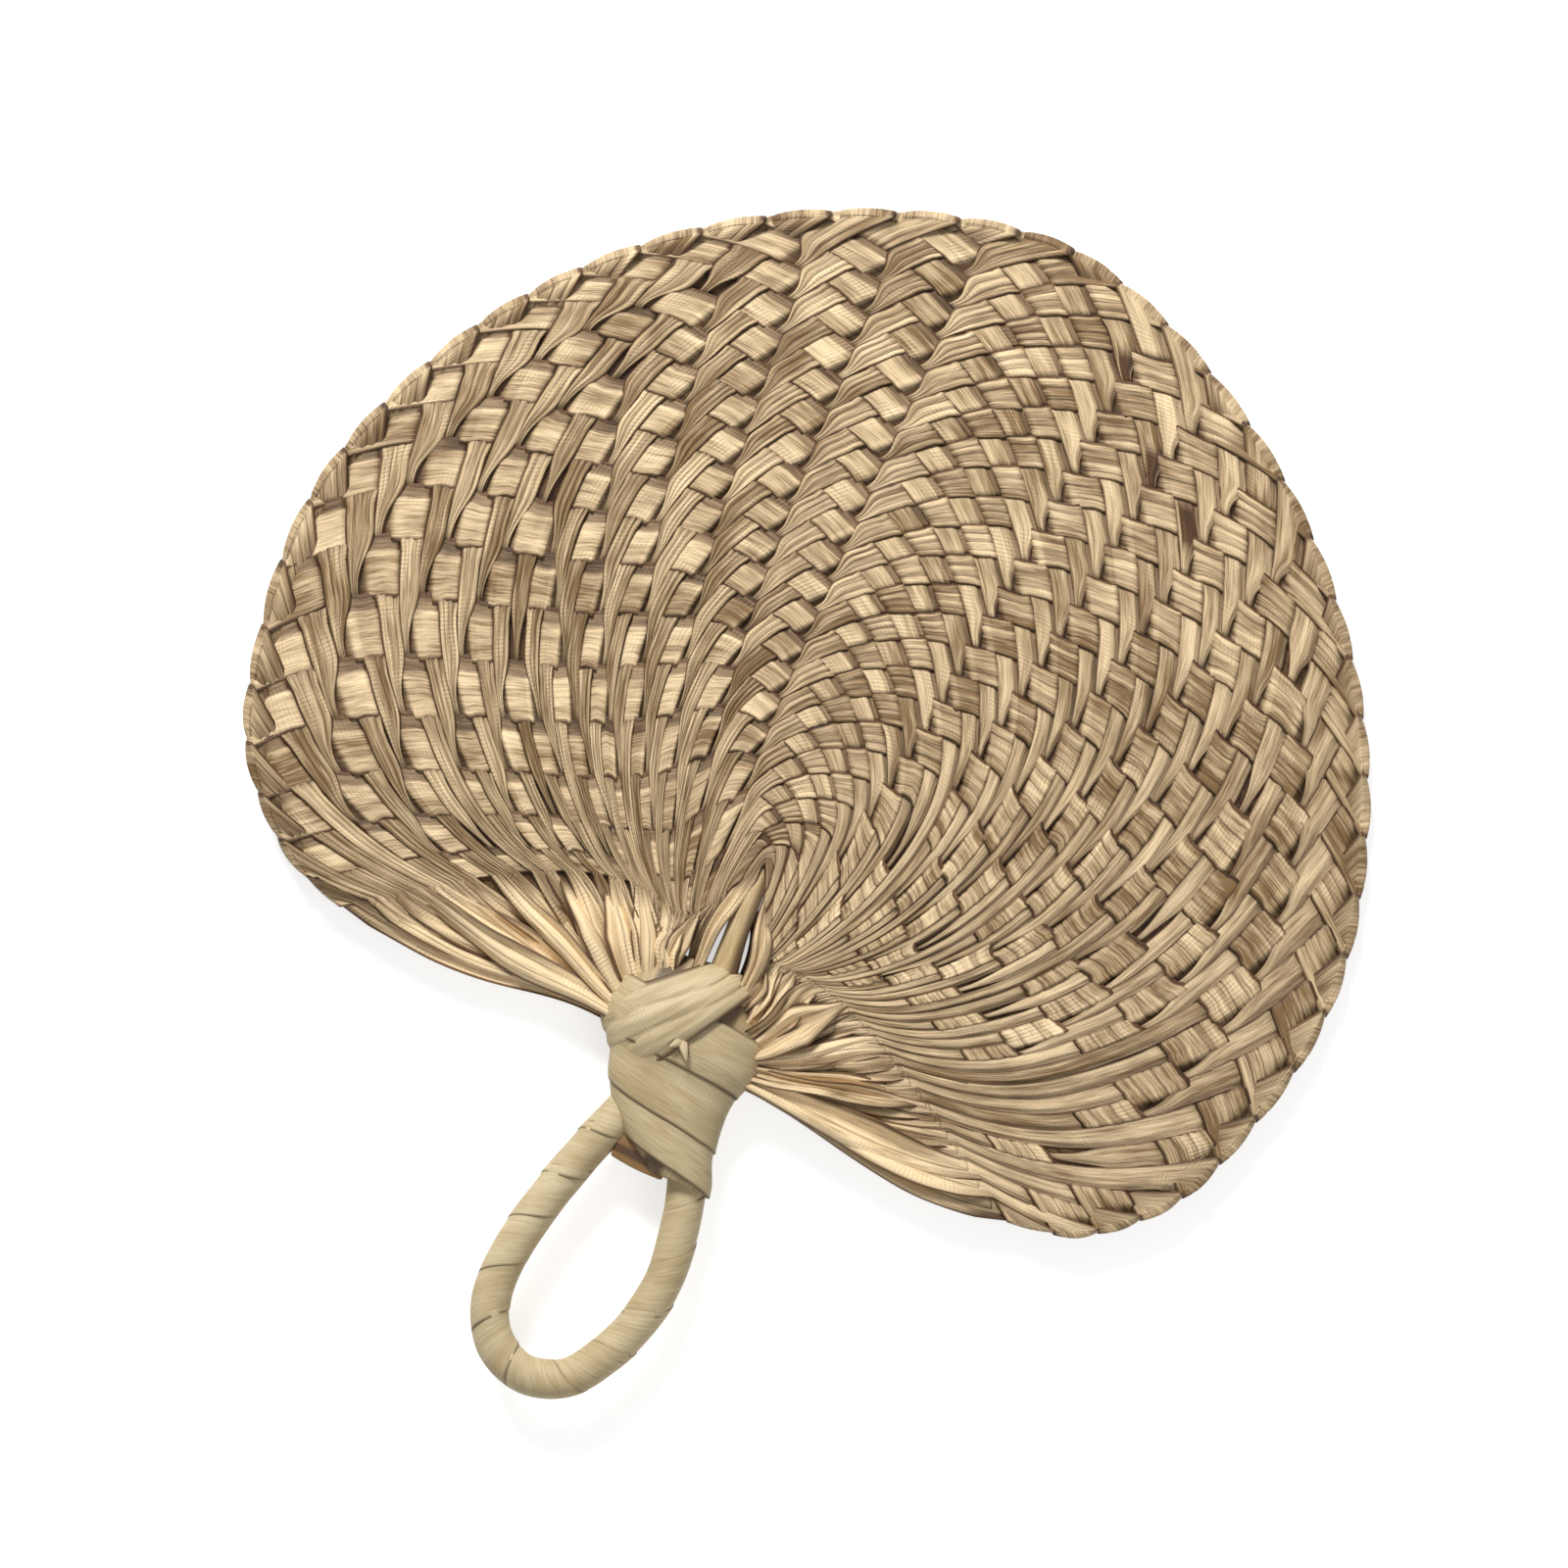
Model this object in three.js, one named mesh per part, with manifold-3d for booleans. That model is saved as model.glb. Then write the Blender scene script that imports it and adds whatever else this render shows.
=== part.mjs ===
// A hand-woven palm leaf fan: a heart-shaped blade of folded leaf strips plaited in twill,
// gathered into a bound neck, with a wrapped loop handle. Millimetres, +Z up.
// The fan lies on its back: it rests on the flat under its neck and on the rim at its tip.

import * as THREE from "three";
import Module from "manifold-3d";
import { mergeVertices } from "three/addons/utils/BufferGeometryUtils.js";

const wasm = await Module();
wasm.setup();

// Driving dimensions of the blade, measured from the weave's centre, with +Y towards the tip
const STRIP_COUNT = 44;
const RIM_STEP_DEGREES = 20;
const RIM_RADII = [195, 186, 178, 172, 166.5, 153, 127];
const SWING = 1.83;
const SWING_CUBIC = 0.22;
const CORE_SWING = 0.6;
const RING_POWER = 1.1;
const RING_POWER_SIDES = 0.05;
const NOTCH = 0.35;
const NOTCH_REACH = 0.7;
const NOTCH_ROUNDING = 0.2;
const STRIP_HALF_PITCH = 0.4;
const EDGE_STRIPS = 3;
const EDGE_HALF_PITCH = 0.26;
const STRIP_THICKNESS = 0.85;
const WEAVE_RISE = 1.2;
const OUTER_STRIPS = 16;
const OUTER_TWILL = 4;
const SPINE_TWILL = 3;

// Driving dimensions of the neck and of the strips gathered into it
const NECK_X = 2.4;
const NECK_PROFILE = [[0, -31.5], [10, -33], [18, -38], [22, -46], [23, -54], [20, -62],
  [17.6, -70], [17.6, -79], [20.2, -86], [18, -88.5], [0, -88.5]];
const NECK_WRAPPED_PLACES = [3, 9];
const NECK_FLARE = 22;
const NECK_FLATNESS = 0.48;
const NECK_LEAN = 0.13;
const NECK_SIDES = 24;
const BAND_SLAB = [80, 16.5, 12];
const BAND_SLANT = 0.88;
const BAND_CENTRE = [-8.8, -49];
const BAND_FOOT = 6.4;
const SLOT_HALF_HEIGHT = 6;
const SLOT_INNER = [[-3.4, -42], [-15.5, -60.5]];
const SLOT_OUTER_X = -50;
const SLOT_SPAN_Y = [-20, -66];
const GATHER_FROM = [-5.2, -40];
const GATHER_TO = [-18, -57.5];
const GATHER_LAYERS = 5;
const GATHER_LAYER_STEP = 2.3;
const GATHER_HALF_WIDTH = 0.55;
const GATHER_STEPS = [0.25, 0.6, 1];
const GATHER_RISE_END = 0.37;
const GATHER_NARROWING = 0.34;
const GATHER_HANDLE = 0.33;
const GATHER_HEADINGS = [-1.45, -0.05];
const INNER_SPREAD = 0.7;
const INNER_RUNS = [4.2, 18.2];

// Driving dimensions of the handle
const CANE_RADIUS = 4.8;
const CANE_SIDES = 10;
const CANE_STEPS = 44;
const CANE_ROUTE = [[-1.5, -68], [-4.5, -80], [-8.6, -94], [-12.5, -111], [-14.9, -129], [-13.7, -144],
  [-7, -154.4], [4, -158.3], [15, -154], [21.8, -143.5], [26, -131], [27.2, -117], [24.8, -103],
  [21.5, -92], [16.5, -80], [11.5, -68]];
const LEAF_THICKNESS = 0.9;
const LEAF_LIFT = 0.65;
const HANDLE_TURNS = 20;
const HANDLE_WRAP_SPAN = [0.128, 0.875];
const HANDLE_WRAP_START = 0;
const HANDLE_WRAP_COVER = 0.88;
const NECK_WRAP_TURNS = 2;
const NECK_WRAP_SPAN = [-69, -85.5];
const NECK_WRAP_START = Math.PI;
const NECK_WRAP_COVER = 0.9;
const HANDLE_WRAP_STEPS = 12;
const NECK_WRAP_STEPS = 24;

// Small pieces at the centre and the crotch
const STICK_RADIUS = 3.3;
const STICK_TAPER = 0.86;
const STICK_SIDES = 12;
const STICK_TOP = [1, -13];
const STICK_END = [3, -40];
const PEG_SIZE = [13, 4.4, 6.5];
const PEG_CENTRE = [6.6, -91.3];
const PEG_SHOULDER = 2;
const PEG_CROWN = 1.2;
const PEG_ARC_STEPS = 6;

// Clearance between pieces that touch, and how the finished fan lies
const GAP = 0.3;
const NECK_CENTRE_Y = -54;
const NECK_HEIGHT = 10.5;
const TIP_HEIGHT = 1.2;
const FLAT_CUT = 200;

const LIE_ANGLE = Math.atan2(NECK_HEIGHT - TIP_HEIGHT, RIM_RADII[0] - NECK_CENTRE_Y);
const LIE = new THREE.Matrix4().makeTranslation(0, 0, NECK_HEIGHT)
  .multiply(new THREE.Matrix4().makeRotationX(-LIE_ANGLE))
  .multiply(new THREE.Matrix4().makeTranslation(0, -NECK_CENTRE_Y, 0));

const fan = new THREE.Group();

function leafMaterial(color, roughness = 0.75) {
  return new THREE.MeshStandardMaterial({ color, roughness, metalness: 0 });
}

function addPiece(name, geometry, material) {
  const mesh = new THREE.Mesh(geometry, material);
  mesh.name = name;
  fan.add(mesh);
}

// Turns a closed three.js geometry into a solid for joining and cutting
function solidOf(geometry) {
  const bare = geometry.clone();
  for (const extra of ["normal", "uv"]) bare.deleteAttribute(extra);
  const merged = mergeVertices(bare, 1e-4);
  const vertProperties = new Float32Array(merged.attributes.position.array);
  const triVerts = new Uint32Array(merged.index.array);
  return new wasm.Manifold(new wasm.Mesh({ numProp: 3, vertProperties, triVerts }));
}

function geometryOf(solid) {
  const { vertProperties, triVerts } = solid.getMesh();
  const geometry = new THREE.BufferGeometry();
  geometry.setAttribute("position", new THREE.BufferAttribute(vertProperties, 3));
  geometry.setIndex(new THREE.BufferAttribute(triVerts, 1));
  return geometry;
}

// Joins equal rings of points into one closed body with a cap at each end
function loft(rings) {
  const sides = rings[0].length;
  const points = rings.flat();
  const triangles = [];
  for (let ring = 0; ring + 1 < rings.length; ring += 1) {
    for (let side = 0; side < sides; side += 1) {
      const here = ring * sides + side;
      const next = ring * sides + (side + 1) % sides;
      triangles.push(here, next, next + sides, here, next + sides, here + sides);
    }
  }
  const last = (rings.length - 1) * sides;
  for (let side = 1; side + 1 < sides; side += 1) {
    triangles.push(0, side + 1, side, last, last + side, last + side + 1);
  }
  const geometry = new THREE.BufferGeometry().setFromPoints(points);
  geometry.setIndex(triangles);
  return geometry;
}

// The rim's distance from the weave's centre at an angle off the axis, in radians
const rimCurve = new THREE.SplineCurve(
  RIM_RADII.map((radius, step) => new THREE.Vector2(step, radius)),
);

function rimRadius(angle) {
  const steps = THREE.MathUtils.radToDeg(Math.abs(angle)) / RIM_STEP_DEGREES;
  return rimCurve.getPoint(steps / (RIM_RADII.length - 1)).y;
}

// A point of the plaited sheet: a counts the rising strips, b the falling ones.
// The sheet is a right-angled corner spread round the centre, with its long side as the rim.
// It spreads less near the centre, and its rows dip towards the centre along the spine.
function weavePoint(a, b) {
  const ring = (a + b) / (STRIP_COUNT + 2 * STRIP_HALF_PITCH);
  const swing = (b - a) / (a + b);
  const spread = THREE.MathUtils.lerp(CORE_SWING, 1, ring);
  const angle = (SWING * swing + SWING_CUBIC * swing ** 3) * spread;
  const offSpine = Math.hypot(angle, NOTCH_ROUNDING) - NOTCH_ROUNDING;
  const dip = NOTCH * NOTCH_REACH * Math.tanh(offSpine / NOTCH_REACH) * (1 - ring);
  const power = RING_POWER + RING_POWER_SIDES * angle ** 2;
  const radius = rimRadius(angle) * ring ** power * Math.exp(dip);
  return new THREE.Vector3(radius * Math.sin(angle), radius * Math.cos(angle), 0);
}

// Tells if the rising arm of one strip passes over the falling arm of another.
// Three over one along the sides, and a two over one chevron at the spine.
function risingIsOver(rising, falling) {
  const depth = rising - falling;
  const column = rising + falling - (STRIP_COUNT - 1);
  if (falling >= STRIP_COUNT - OUTER_STRIPS) return depth % OUTER_TWILL === 2;
  if (rising < OUTER_STRIPS) return depth % OUTER_TWILL !== 2;
  return column <= 0 ? -column % SPINE_TWILL !== 1 : column % SPINE_TWILL === 2;
}

// One three-cornered section of a leaf strip: its two edges and the midrib above them
function stripSection(outer, inner, middle, height, thickness) {
  const ring = [inner, outer, middle].map((point) => point.clone());
  ring[0].z = height;
  ring[1].z = height;
  ring[2].z = height + thickness;
  return ring;
}

// The free run of a strip from the last crossing to its place in the neck's slot
function gatheredRun(edge, before, side, rank) {
  const [inner, outer, middle] = edge;
  const layer = rank % GATHER_LAYERS;
  const across = Math.floor(rank / GATHER_LAYERS) / (Math.ceil(STRIP_COUNT / GATHER_LAYERS) - 1);
  const end = new THREE.Vector3(
    THREE.MathUtils.lerp(GATHER_FROM[0], GATHER_TO[0], across),
    THREE.MathUtils.lerp(GATHER_FROM[1], GATHER_TO[1], across),
    0,
  );
  const layerHeight = -side * (layer - (GATHER_LAYERS - 1) / 2) * GATHER_LAYER_STEP;
  const heading = THREE.MathUtils.lerp(...GATHER_HEADINGS, across);
  const arrive = new THREE.Vector3(Math.cos(heading), Math.sin(heading), 0);
  if (side > 0) {
    end.x = 2 * NECK_X - end.x;
    arrive.x = -arrive.x;
  }
  const start = middle.clone().setZ(0);
  const leave = start.clone().sub(before).normalize();
  const innerShare = THREE.MathUtils.mapLinear(rank, ...INNER_RUNS, 1, 0);
  leave.x += side * INNER_SPREAD * THREE.MathUtils.clamp(innerShare, 0, 1);
  const reach = start.distanceTo(end);
  const startHalf = outer.distanceTo(inner) / 2;
  const path = new THREE.CubicBezierCurve3(
    start,
    start.clone().addScaledVector(leave, reach * GATHER_HANDLE),
    end.clone().addScaledVector(arrive, -reach * GATHER_HANDLE),
    end,
  );
  return GATHER_STEPS.map((u) => {
    const point = path.getPoint(u);
    const along = path.getTangent(u);
    const sideways = new THREE.Vector3(-along.y, along.x, 0).normalize().multiplyScalar(side);
    const half = THREE.MathUtils.lerp(startHalf, GATHER_HALF_WIDTH, u ** GATHER_NARROWING);
    const risen = THREE.MathUtils.smoothstep(u, 0, GATHER_RISE_END);
    const height = THREE.MathUtils.lerp(outer.z, layerHeight, risen);
    const out = point.clone().addScaledVector(sideways, half);
    const into = point.clone().addScaledVector(sideways, -half);
    return stripSection(out, into, point, height, STRIP_THICKNESS);
  });
}

// One leaf strip: gathered at the neck's left, woven to the rim, folded, and woven back to the right
function leafStrip(strip) {
  const a = STRIP_COUNT - strip - 0.5;
  const b = strip + 0.5;
  const fromEdge = Math.min(strip, STRIP_COUNT - 1 - strip);
  const w = fromEdge < EDGE_STRIPS ? EDGE_HALF_PITCH : STRIP_HALF_PITCH;
  const rings = [];
  for (let falling = 0; falling < strip; falling += 1) {
    const at = falling + 0.5;
    const height = risingIsOver(strip, falling) ? WEAVE_RISE : -WEAVE_RISE;
    rings.push(stripSection(weavePoint(a + w, at), weavePoint(a - w, at), weavePoint(a, at), height,
      STRIP_THICKNESS));
  }
  rings.push(stripSection(weavePoint(a + w, b + w), weavePoint(a - w, b - w), weavePoint(a, b), 0,
    STRIP_THICKNESS));
  for (let rising = strip + 1; rising < STRIP_COUNT; rising += 1) {
    const at = STRIP_COUNT - rising - 0.5;
    const height = risingIsOver(rising, strip) ? -WEAVE_RISE : WEAVE_RISE;
    rings.push(stripSection(weavePoint(at, b + w), weavePoint(at, b - w), weavePoint(at, b), height,
      STRIP_THICKNESS));
  }
  rings.unshift(stripSection(weavePoint(a + w, 0), weavePoint(a - w, 0), weavePoint(a, 0), rings[0][0].z,
    STRIP_THICKNESS));
  rings.push(stripSection(weavePoint(0, b + w), weavePoint(0, b - w), weavePoint(0, b),
    rings[rings.length - 1][0].z, STRIP_THICKNESS));
  const left = gatheredRun(rings[0], weavePoint(a, 0.5), -1, STRIP_COUNT - 1 - strip);
  const right = gatheredRun(rings[rings.length - 1], weavePoint(0.5, b), 1, strip);
  return loft([...left.reverse(), ...rings, ...right]);
}

// A strip of leaf wound round a surface, as one unbroken ribbon with a rectangular section.
// Hand is 1 or -1, for the way it goes round from its start.
function woundStrip(surface, span, turns, cover, steps, start, hand) {
  const pitch = (span[1] - span[0]) / turns;
  const half = pitch * cover / 2;
  const rings = [];
  for (let step = 0; step <= turns * steps; step += 1) {
    const turn = step / steps;
    const phase = start + hand * turn * 2 * Math.PI;
    const middle = span[0] + pitch * turn;
    rings.push([
      surface(middle - half, phase, LEAF_LIFT),
      surface(middle + half, phase, LEAF_LIFT),
      surface(middle + half, phase, LEAF_LIFT + LEAF_THICKNESS),
      surface(middle - half, phase, LEAF_LIFT + LEAF_THICKNESS),
    ]);
  }
  let least = Infinity;
  for (let step = 0; step + steps < rings.length; step += 1) {
    for (const corner of [0, 3]) {
      least = Math.min(least, rings[step + steps][corner].distanceTo(rings[step][corner === 0 ? 1 : 2]));
    }
  }
  if (hand < 0) rings.forEach((ring) => ring.reverse());
  return { rings, least };
}

// The bent cane of the handle, with both ends up inside the neck
const caneCurve = new THREE.CatmullRomCurve3(CANE_ROUTE.map(([x, y]) => new THREE.Vector3(x, y, 0)));

function cane(radius) {
  const section = new THREE.Shape().absarc(0, 0, radius, 0, 2 * Math.PI);
  return new THREE.ExtrudeGeometry(section, {
    extrudePath: caneCurve, steps: CANE_STEPS, curveSegments: CANE_SIDES / 2, bevelEnabled: false,
  });
}

function caneSurface(u, phase, lift) {
  const centre = caneCurve.getPointAt(u);
  const along = caneCurve.getTangentAt(u);
  const sideways = new THREE.Vector3(-along.y, along.x, 0);
  const radius = CANE_RADIUS + lift;
  return centre.addScaledVector(sideways, radius * Math.cos(phase))
    .add(new THREE.Vector3(0, 0, radius * Math.sin(phase)));
}

// The neck: the leaf stems bound into a flattened knob
function neckShift(y) {
  return NECK_X + NECK_LEAN * (NECK_CENTRE_Y - y);
}

function neckSolid(lift = 0) {
  const profile = NECK_PROFILE.map(([radius, y]) => new THREE.Vector2(radius, y)).reverse();
  const knob = new THREE.LatheGeometry(profile, NECK_SIDES);
  const place = knob.attributes.position;
  for (let i = 0; i < place.count; i += 1) {
    const [x, y, z] = [place.getX(i), place.getY(i), place.getZ(i)];
    const radius = Math.hypot(x, z);
    const grown = radius > 0 ? lift / radius : 0;
    place.setXYZ(i, x * (1 + grown) + neckShift(y), y, z * (NECK_FLATNESS + grown));
  }
  return solidOf(knob);
}

// The band of leaf bound aslant over the front of the knob
function bandSolid() {
  const [length, width, height] = BAND_SLAB;
  const slab = new THREE.BoxGeometry(length, width, height);
  slab.rotateZ(BAND_SLANT);
  slab.translate(...BAND_CENTRE, BAND_FOOT + height / 2);
  return neckSolid(LEAF_LIFT + LEAF_THICKNESS).subtract(neckSolid(LEAF_LIFT)).intersect(solidOf(slab));
}

function neckSurface(y, phase, lift) {
  const places = NECK_PROFILE.slice(...NECK_WRAPPED_PLACES);
  let radius = NECK_FLARE;
  for (let i = 0; i + 1 < places.length; i += 1) {
    const [[r0, y0], [r1, y1]] = [places[i], places[i + 1]];
    if (y <= y0 && y >= y1) radius = THREE.MathUtils.mapLinear(y, y0, y1, r0, r1);
  }
  return new THREE.Vector3(
    neckShift(y) + (radius + lift) * Math.cos(phase),
    y,
    (radius * NECK_FLATNESS + lift) * Math.sin(phase),
  );
}

// The slot in one side of the neck that holds the gathered strips
function slotSolid(side) {
  const [upper, lower] = SLOT_INNER;
  const [top, bottom] = SLOT_SPAN_Y;
  const corners = [[upper[0], top], upper, lower, [SLOT_OUTER_X, bottom], [SLOT_OUTER_X, top]];
  const outline = corners.map(([x, y]) => new THREE.Vector2(side > 0 ? 2 * NECK_X - x : x, y));
  const slot = new THREE.ExtrudeGeometry(new THREE.Shape(outline), {
    depth: 2 * SLOT_HALF_HEIGHT, bevelEnabled: false,
  });
  slot.translate(0, 0, -SLOT_HALF_HEIGHT);
  return solidOf(slot);
}

// The petiole stick that stiffens the blade between the weave's centre and the neck
function stick(radius) {
  const from = new THREE.Vector3(STICK_TOP[0], STICK_TOP[1], 0);
  const to = new THREE.Vector3(STICK_END[0], STICK_END[1], 0);
  const rod = new THREE.CylinderGeometry(radius * STICK_TAPER, radius, from.distanceTo(to), STICK_SIDES);
  rod.rotateZ(Math.atan2(from.y - to.y, from.x - to.x) - Math.PI / 2);
  rod.translate((from.x + to.x) / 2, (from.y + to.y) / 2, 0);
  return rod;
}

// The bamboo slip wedged in the crotch between the two legs of the handle
function peg() {
  const [length, height, depth] = PEG_SIZE;
  const section = new THREE.Shape();
  section.moveTo(-height / 2, -depth / 2);
  section.lineTo(height / 2, -depth / 2);
  section.lineTo(height / 2, depth / 2 - PEG_SHOULDER);
  section.quadraticCurveTo(0, depth / 2 + PEG_CROWN, -height / 2, depth / 2 - PEG_SHOULDER);
  const slip = new THREE.ExtrudeGeometry(section, {
    depth: length, bevelEnabled: false, curveSegments: PEG_ARC_STEPS,
  });
  slip.translate(0, 0, -length / 2);
  slip.rotateZ(Math.PI / 2);
  slip.rotateY(Math.PI / 2);
  slip.translate(PEG_CENTRE[0], PEG_CENTRE[1], 0);
  return slip;
}

function buildBlade() {
  for (let strip = 0; strip < STRIP_COUNT; strip += 1) {
    const name = `leaf_strip_${String(strip + 1).padStart(2, "0")}`;
    addPiece(name, leafStrip(strip).applyMatrix4(LIE), leafMaterial(strip % 2 ? 0xc3a572 : 0xb99a66));
  }
  addPiece("petiole_stick", stick(STICK_RADIUS).applyMatrix4(LIE), leafMaterial(0xcbb68a));
}

function buildHandle() {
  const floor = new THREE.BoxGeometry(FLAT_CUT, FLAT_CUT, FLAT_CUT).translate(0, 0, -FLAT_CUT / 2);
  const neck = neckSolid()
    .subtract(slotSolid(-1)).subtract(slotSolid(1))
    .subtract(solidOf(cane(CANE_RADIUS + GAP)))
    .subtract(solidOf(stick(STICK_RADIUS + GAP)));
  const laid = solidOf(geometryOf(neck).applyMatrix4(LIE)).subtract(solidOf(floor));
  addPiece("neck_knob", geometryOf(laid), leafMaterial(0xc4b184));
  addPiece("knob_band", geometryOf(bandSolid()).applyMatrix4(LIE), leafMaterial(0xcfbe92));
  const neckWrap = woundStrip(neckSurface, NECK_WRAP_SPAN, NECK_WRAP_TURNS, NECK_WRAP_COVER,
    NECK_WRAP_STEPS, NECK_WRAP_START, -1);
  addPiece("neck_wrap", loft(neckWrap.rings).applyMatrix4(LIE), leafMaterial(0xc9b78b));
  addPiece("handle_cane", cane(CANE_RADIUS).applyMatrix4(LIE), leafMaterial(0xa98a55, 0.6));
  const handleWrap = woundStrip(caneSurface, HANDLE_WRAP_SPAN, HANDLE_TURNS, HANDLE_WRAP_COVER,
    HANDLE_WRAP_STEPS, HANDLE_WRAP_START, 1);
  addPiece("handle_wrap", loft(handleWrap.rings).applyMatrix4(LIE), leafMaterial(0xcdbb8e));
  addPiece("crotch_peg", peg().applyMatrix4(LIE), leafMaterial(0x8a6234, 0.55));
  console.log(`least gap of the neck wrap to itself ${neckWrap.least.toFixed(2)} mm`);
  console.log(`least gap of the handle wrap to itself ${handleWrap.least.toFixed(2)} mm`);
}

buildBlade();
buildHandle();

export default fan;
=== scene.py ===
# %% [markdown]
# # A plaited palm leaf fan
# The real fan is one sheet of folded palm leaf strips. They are plaited in twill from the centre out to the
# rim, folded back there, and gathered at the bottom into a bound neck with a wrapped loop handle.
# This lesson dresses the imported solids of that fan. The solids say where everything is, and each step makes
# the looks of one kind of piece. The first cell loads the solids.

# %% Load the imported fan
from math import atan2, cos, degrees, pi, radians, sin, sqrt

import bpy
import numpy as np
from mathutils import Matrix, Vector


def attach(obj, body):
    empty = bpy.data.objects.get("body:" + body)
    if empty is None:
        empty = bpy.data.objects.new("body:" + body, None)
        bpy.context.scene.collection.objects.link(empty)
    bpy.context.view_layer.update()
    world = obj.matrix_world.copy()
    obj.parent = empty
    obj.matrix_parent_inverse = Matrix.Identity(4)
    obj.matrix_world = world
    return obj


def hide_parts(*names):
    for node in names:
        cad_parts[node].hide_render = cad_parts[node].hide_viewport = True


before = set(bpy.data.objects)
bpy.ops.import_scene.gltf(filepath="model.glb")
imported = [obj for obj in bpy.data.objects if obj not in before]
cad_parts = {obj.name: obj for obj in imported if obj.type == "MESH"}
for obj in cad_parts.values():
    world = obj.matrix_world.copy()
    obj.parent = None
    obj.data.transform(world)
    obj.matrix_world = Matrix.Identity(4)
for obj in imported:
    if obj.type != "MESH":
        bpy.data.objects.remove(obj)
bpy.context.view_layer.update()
bpy.ops.object.select_all(action="DESELECT")
MM = 0.001
print("solids loaded:", len(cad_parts))

# %% [markdown]
# ## How the fan lies
# The leaf is easiest to draw flat, in millimetres from the centre of the plait, with +Y towards the tip.
# The fan rests on the bottom of its neck and on the rim at its tip, so it leans by about two degrees. One
# matrix lays every flat drawing down in the frame of the solids.

# %% Lay the drawing down
TIP_REACH = 195
NECK_Y = -54
NECK_HEIGHT = 10.5
TIP_HEIGHT = 1.2
lean = atan2(NECK_HEIGHT - TIP_HEIGHT, TIP_REACH - NECK_Y)
LIE = (Matrix.Translation((0, 0, NECK_HEIGHT * MM)) @ Matrix.Rotation(-lean, 4, "X")
       @ Matrix.Translation((0, -NECK_Y * MM, 0)))
LIE_IN_MM = LIE @ Matrix.Scale(MM, 4)
LIE_TURN = np.array(LIE.to_3x3())
LIE_SHIFT = np.array(LIE.translation)


def lay_down(flat):
    """Turns flat points in millimetres into the frame's points in metres."""
    return (np.asarray(flat) * MM) @ LIE_TURN.T + LIE_SHIFT


def just_added(name):
    """Names the object that was added last, and gives it."""
    bpy.context.object.name = name
    return bpy.context.object


print("the fan leans by", round(degrees(lean), 2), "degrees")

# %% [markdown]
# ## Camera
# The fan is seen straight on, turned by about 27 degrees in the picture. The camera looks down on
# the blade from a long way off, so the leaf has hardly any perspective.

# %% Camera over the blade
PICTURE_WIDTH = 440
PICTURE_CENTRE = (-5.0, 22.3)
FAN_TURN = radians(26.6)
CAMERA_HEIGHT = 1600
bpy.ops.object.camera_add()
camera = just_added("camera")
camera.data.lens = camera.data.sensor_width * CAMERA_HEIGHT / PICTURE_WIDTH
place = Matrix.Translation((PICTURE_CENTRE[0] * MM, PICTURE_CENTRE[1] * MM, CAMERA_HEIGHT * MM))
camera.matrix_world = LIE @ place @ Matrix.Rotation(FAN_TURN, 4, "Z")
bpy.context.scene.camera = camera
print("camera lens", round(camera.data.lens, 1), "mm")

# %% [markdown]
# ## Shader nodes in code
# A material is a tree of nodes. They could be linked by hand in the shader editor, but the finishes of this
# fan share many sums. So a few small functions add a node, a sum or a new material.

# %% Node helpers
def feed(tree, node, inputs):
    """Sets a node's inputs, by name or number, to values, or links them to sockets."""
    for key, value in inputs.items():
        if isinstance(value, bpy.types.NodeSocket):
            tree.links.new(value, node.inputs[key])
        else:
            node.inputs[key].default_value = value


def new_node(tree, kind, inputs=None, **settings):
    """Adds a shader node with its settings and inputs."""
    node = tree.nodes.new("ShaderNode" + kind)
    for key, value in settings.items():
        setattr(node, key, value)
    feed(tree, node, inputs or {})
    return node


def fed_node(tree, kind, *values, **settings):
    """Adds a node, feeds its inputs in order, and gives its first output."""
    return new_node(tree, kind, dict(enumerate(values)), **settings).outputs[0]


def math_node(tree, operation, *values):
    return fed_node(tree, "Math", *values, operation=operation)


def soft_step(tree, value, low, high):
    """A smooth step from 0 at low to 1 at high."""
    return fed_node(tree, "MapRange", value, low, high, interpolation_type="SMOOTHSTEP")


def weighted_sum(tree, start, *parts):
    """Adds pairs of a value and its weight to a start."""
    for value, weight in parts:
        start = math_node(tree, "MULTIPLY_ADD", value, weight, start)
    return start


def new_material(name):
    """Starts a material and gives it with its node tree and its shader."""
    material = bpy.data.materials.new(name)
    material.use_nodes = True
    return material, material.node_tree, material.node_tree.nodes["Principled BSDF"]


print("node helpers ready")

# %% [markdown]
# ## Floor and light
# A pale floor keeps a faint shadow. To the camera it also glows a little, so that the background is white
# while the light on the fan stays plain. A large soft lamp from the upper left brings out the relief of
# the plait, and a weaker one from the other side opens the shadows.

# %% Floor, lamps and world
FLOOR_GLOW = 0.62
SKY_ON_FAN = 0.24
LAMPS_AIM = (0, 20, 0)


def white_to_camera(tree):
    """A mask that is 1 for what the camera sees, also in a reflection or through glass."""
    ray = new_node(tree, "LightPath").outputs
    seen = math_node(tree, "MAXIMUM", ray["Is Camera Ray"], ray["Is Glossy Ray"])
    return math_node(tree, "MAXIMUM", seen, ray["Is Transmission Ray"])


def soft_lamp(name, flat_place, size, power):
    """Adds an area lamp at a flat place, aimed at the middle of the blade."""
    bpy.ops.object.light_add(type="AREA")
    lamp = just_added(name)
    lamp.data.size, lamp.data.energy = size, power
    spot, aim = Vector(lay_down(flat_place)), Vector(lay_down(LAMPS_AIM))
    lamp.matrix_world = Matrix.Translation(spot) @ (spot - aim).to_track_quat("Z", "Y").to_matrix().to_4x4()


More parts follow.
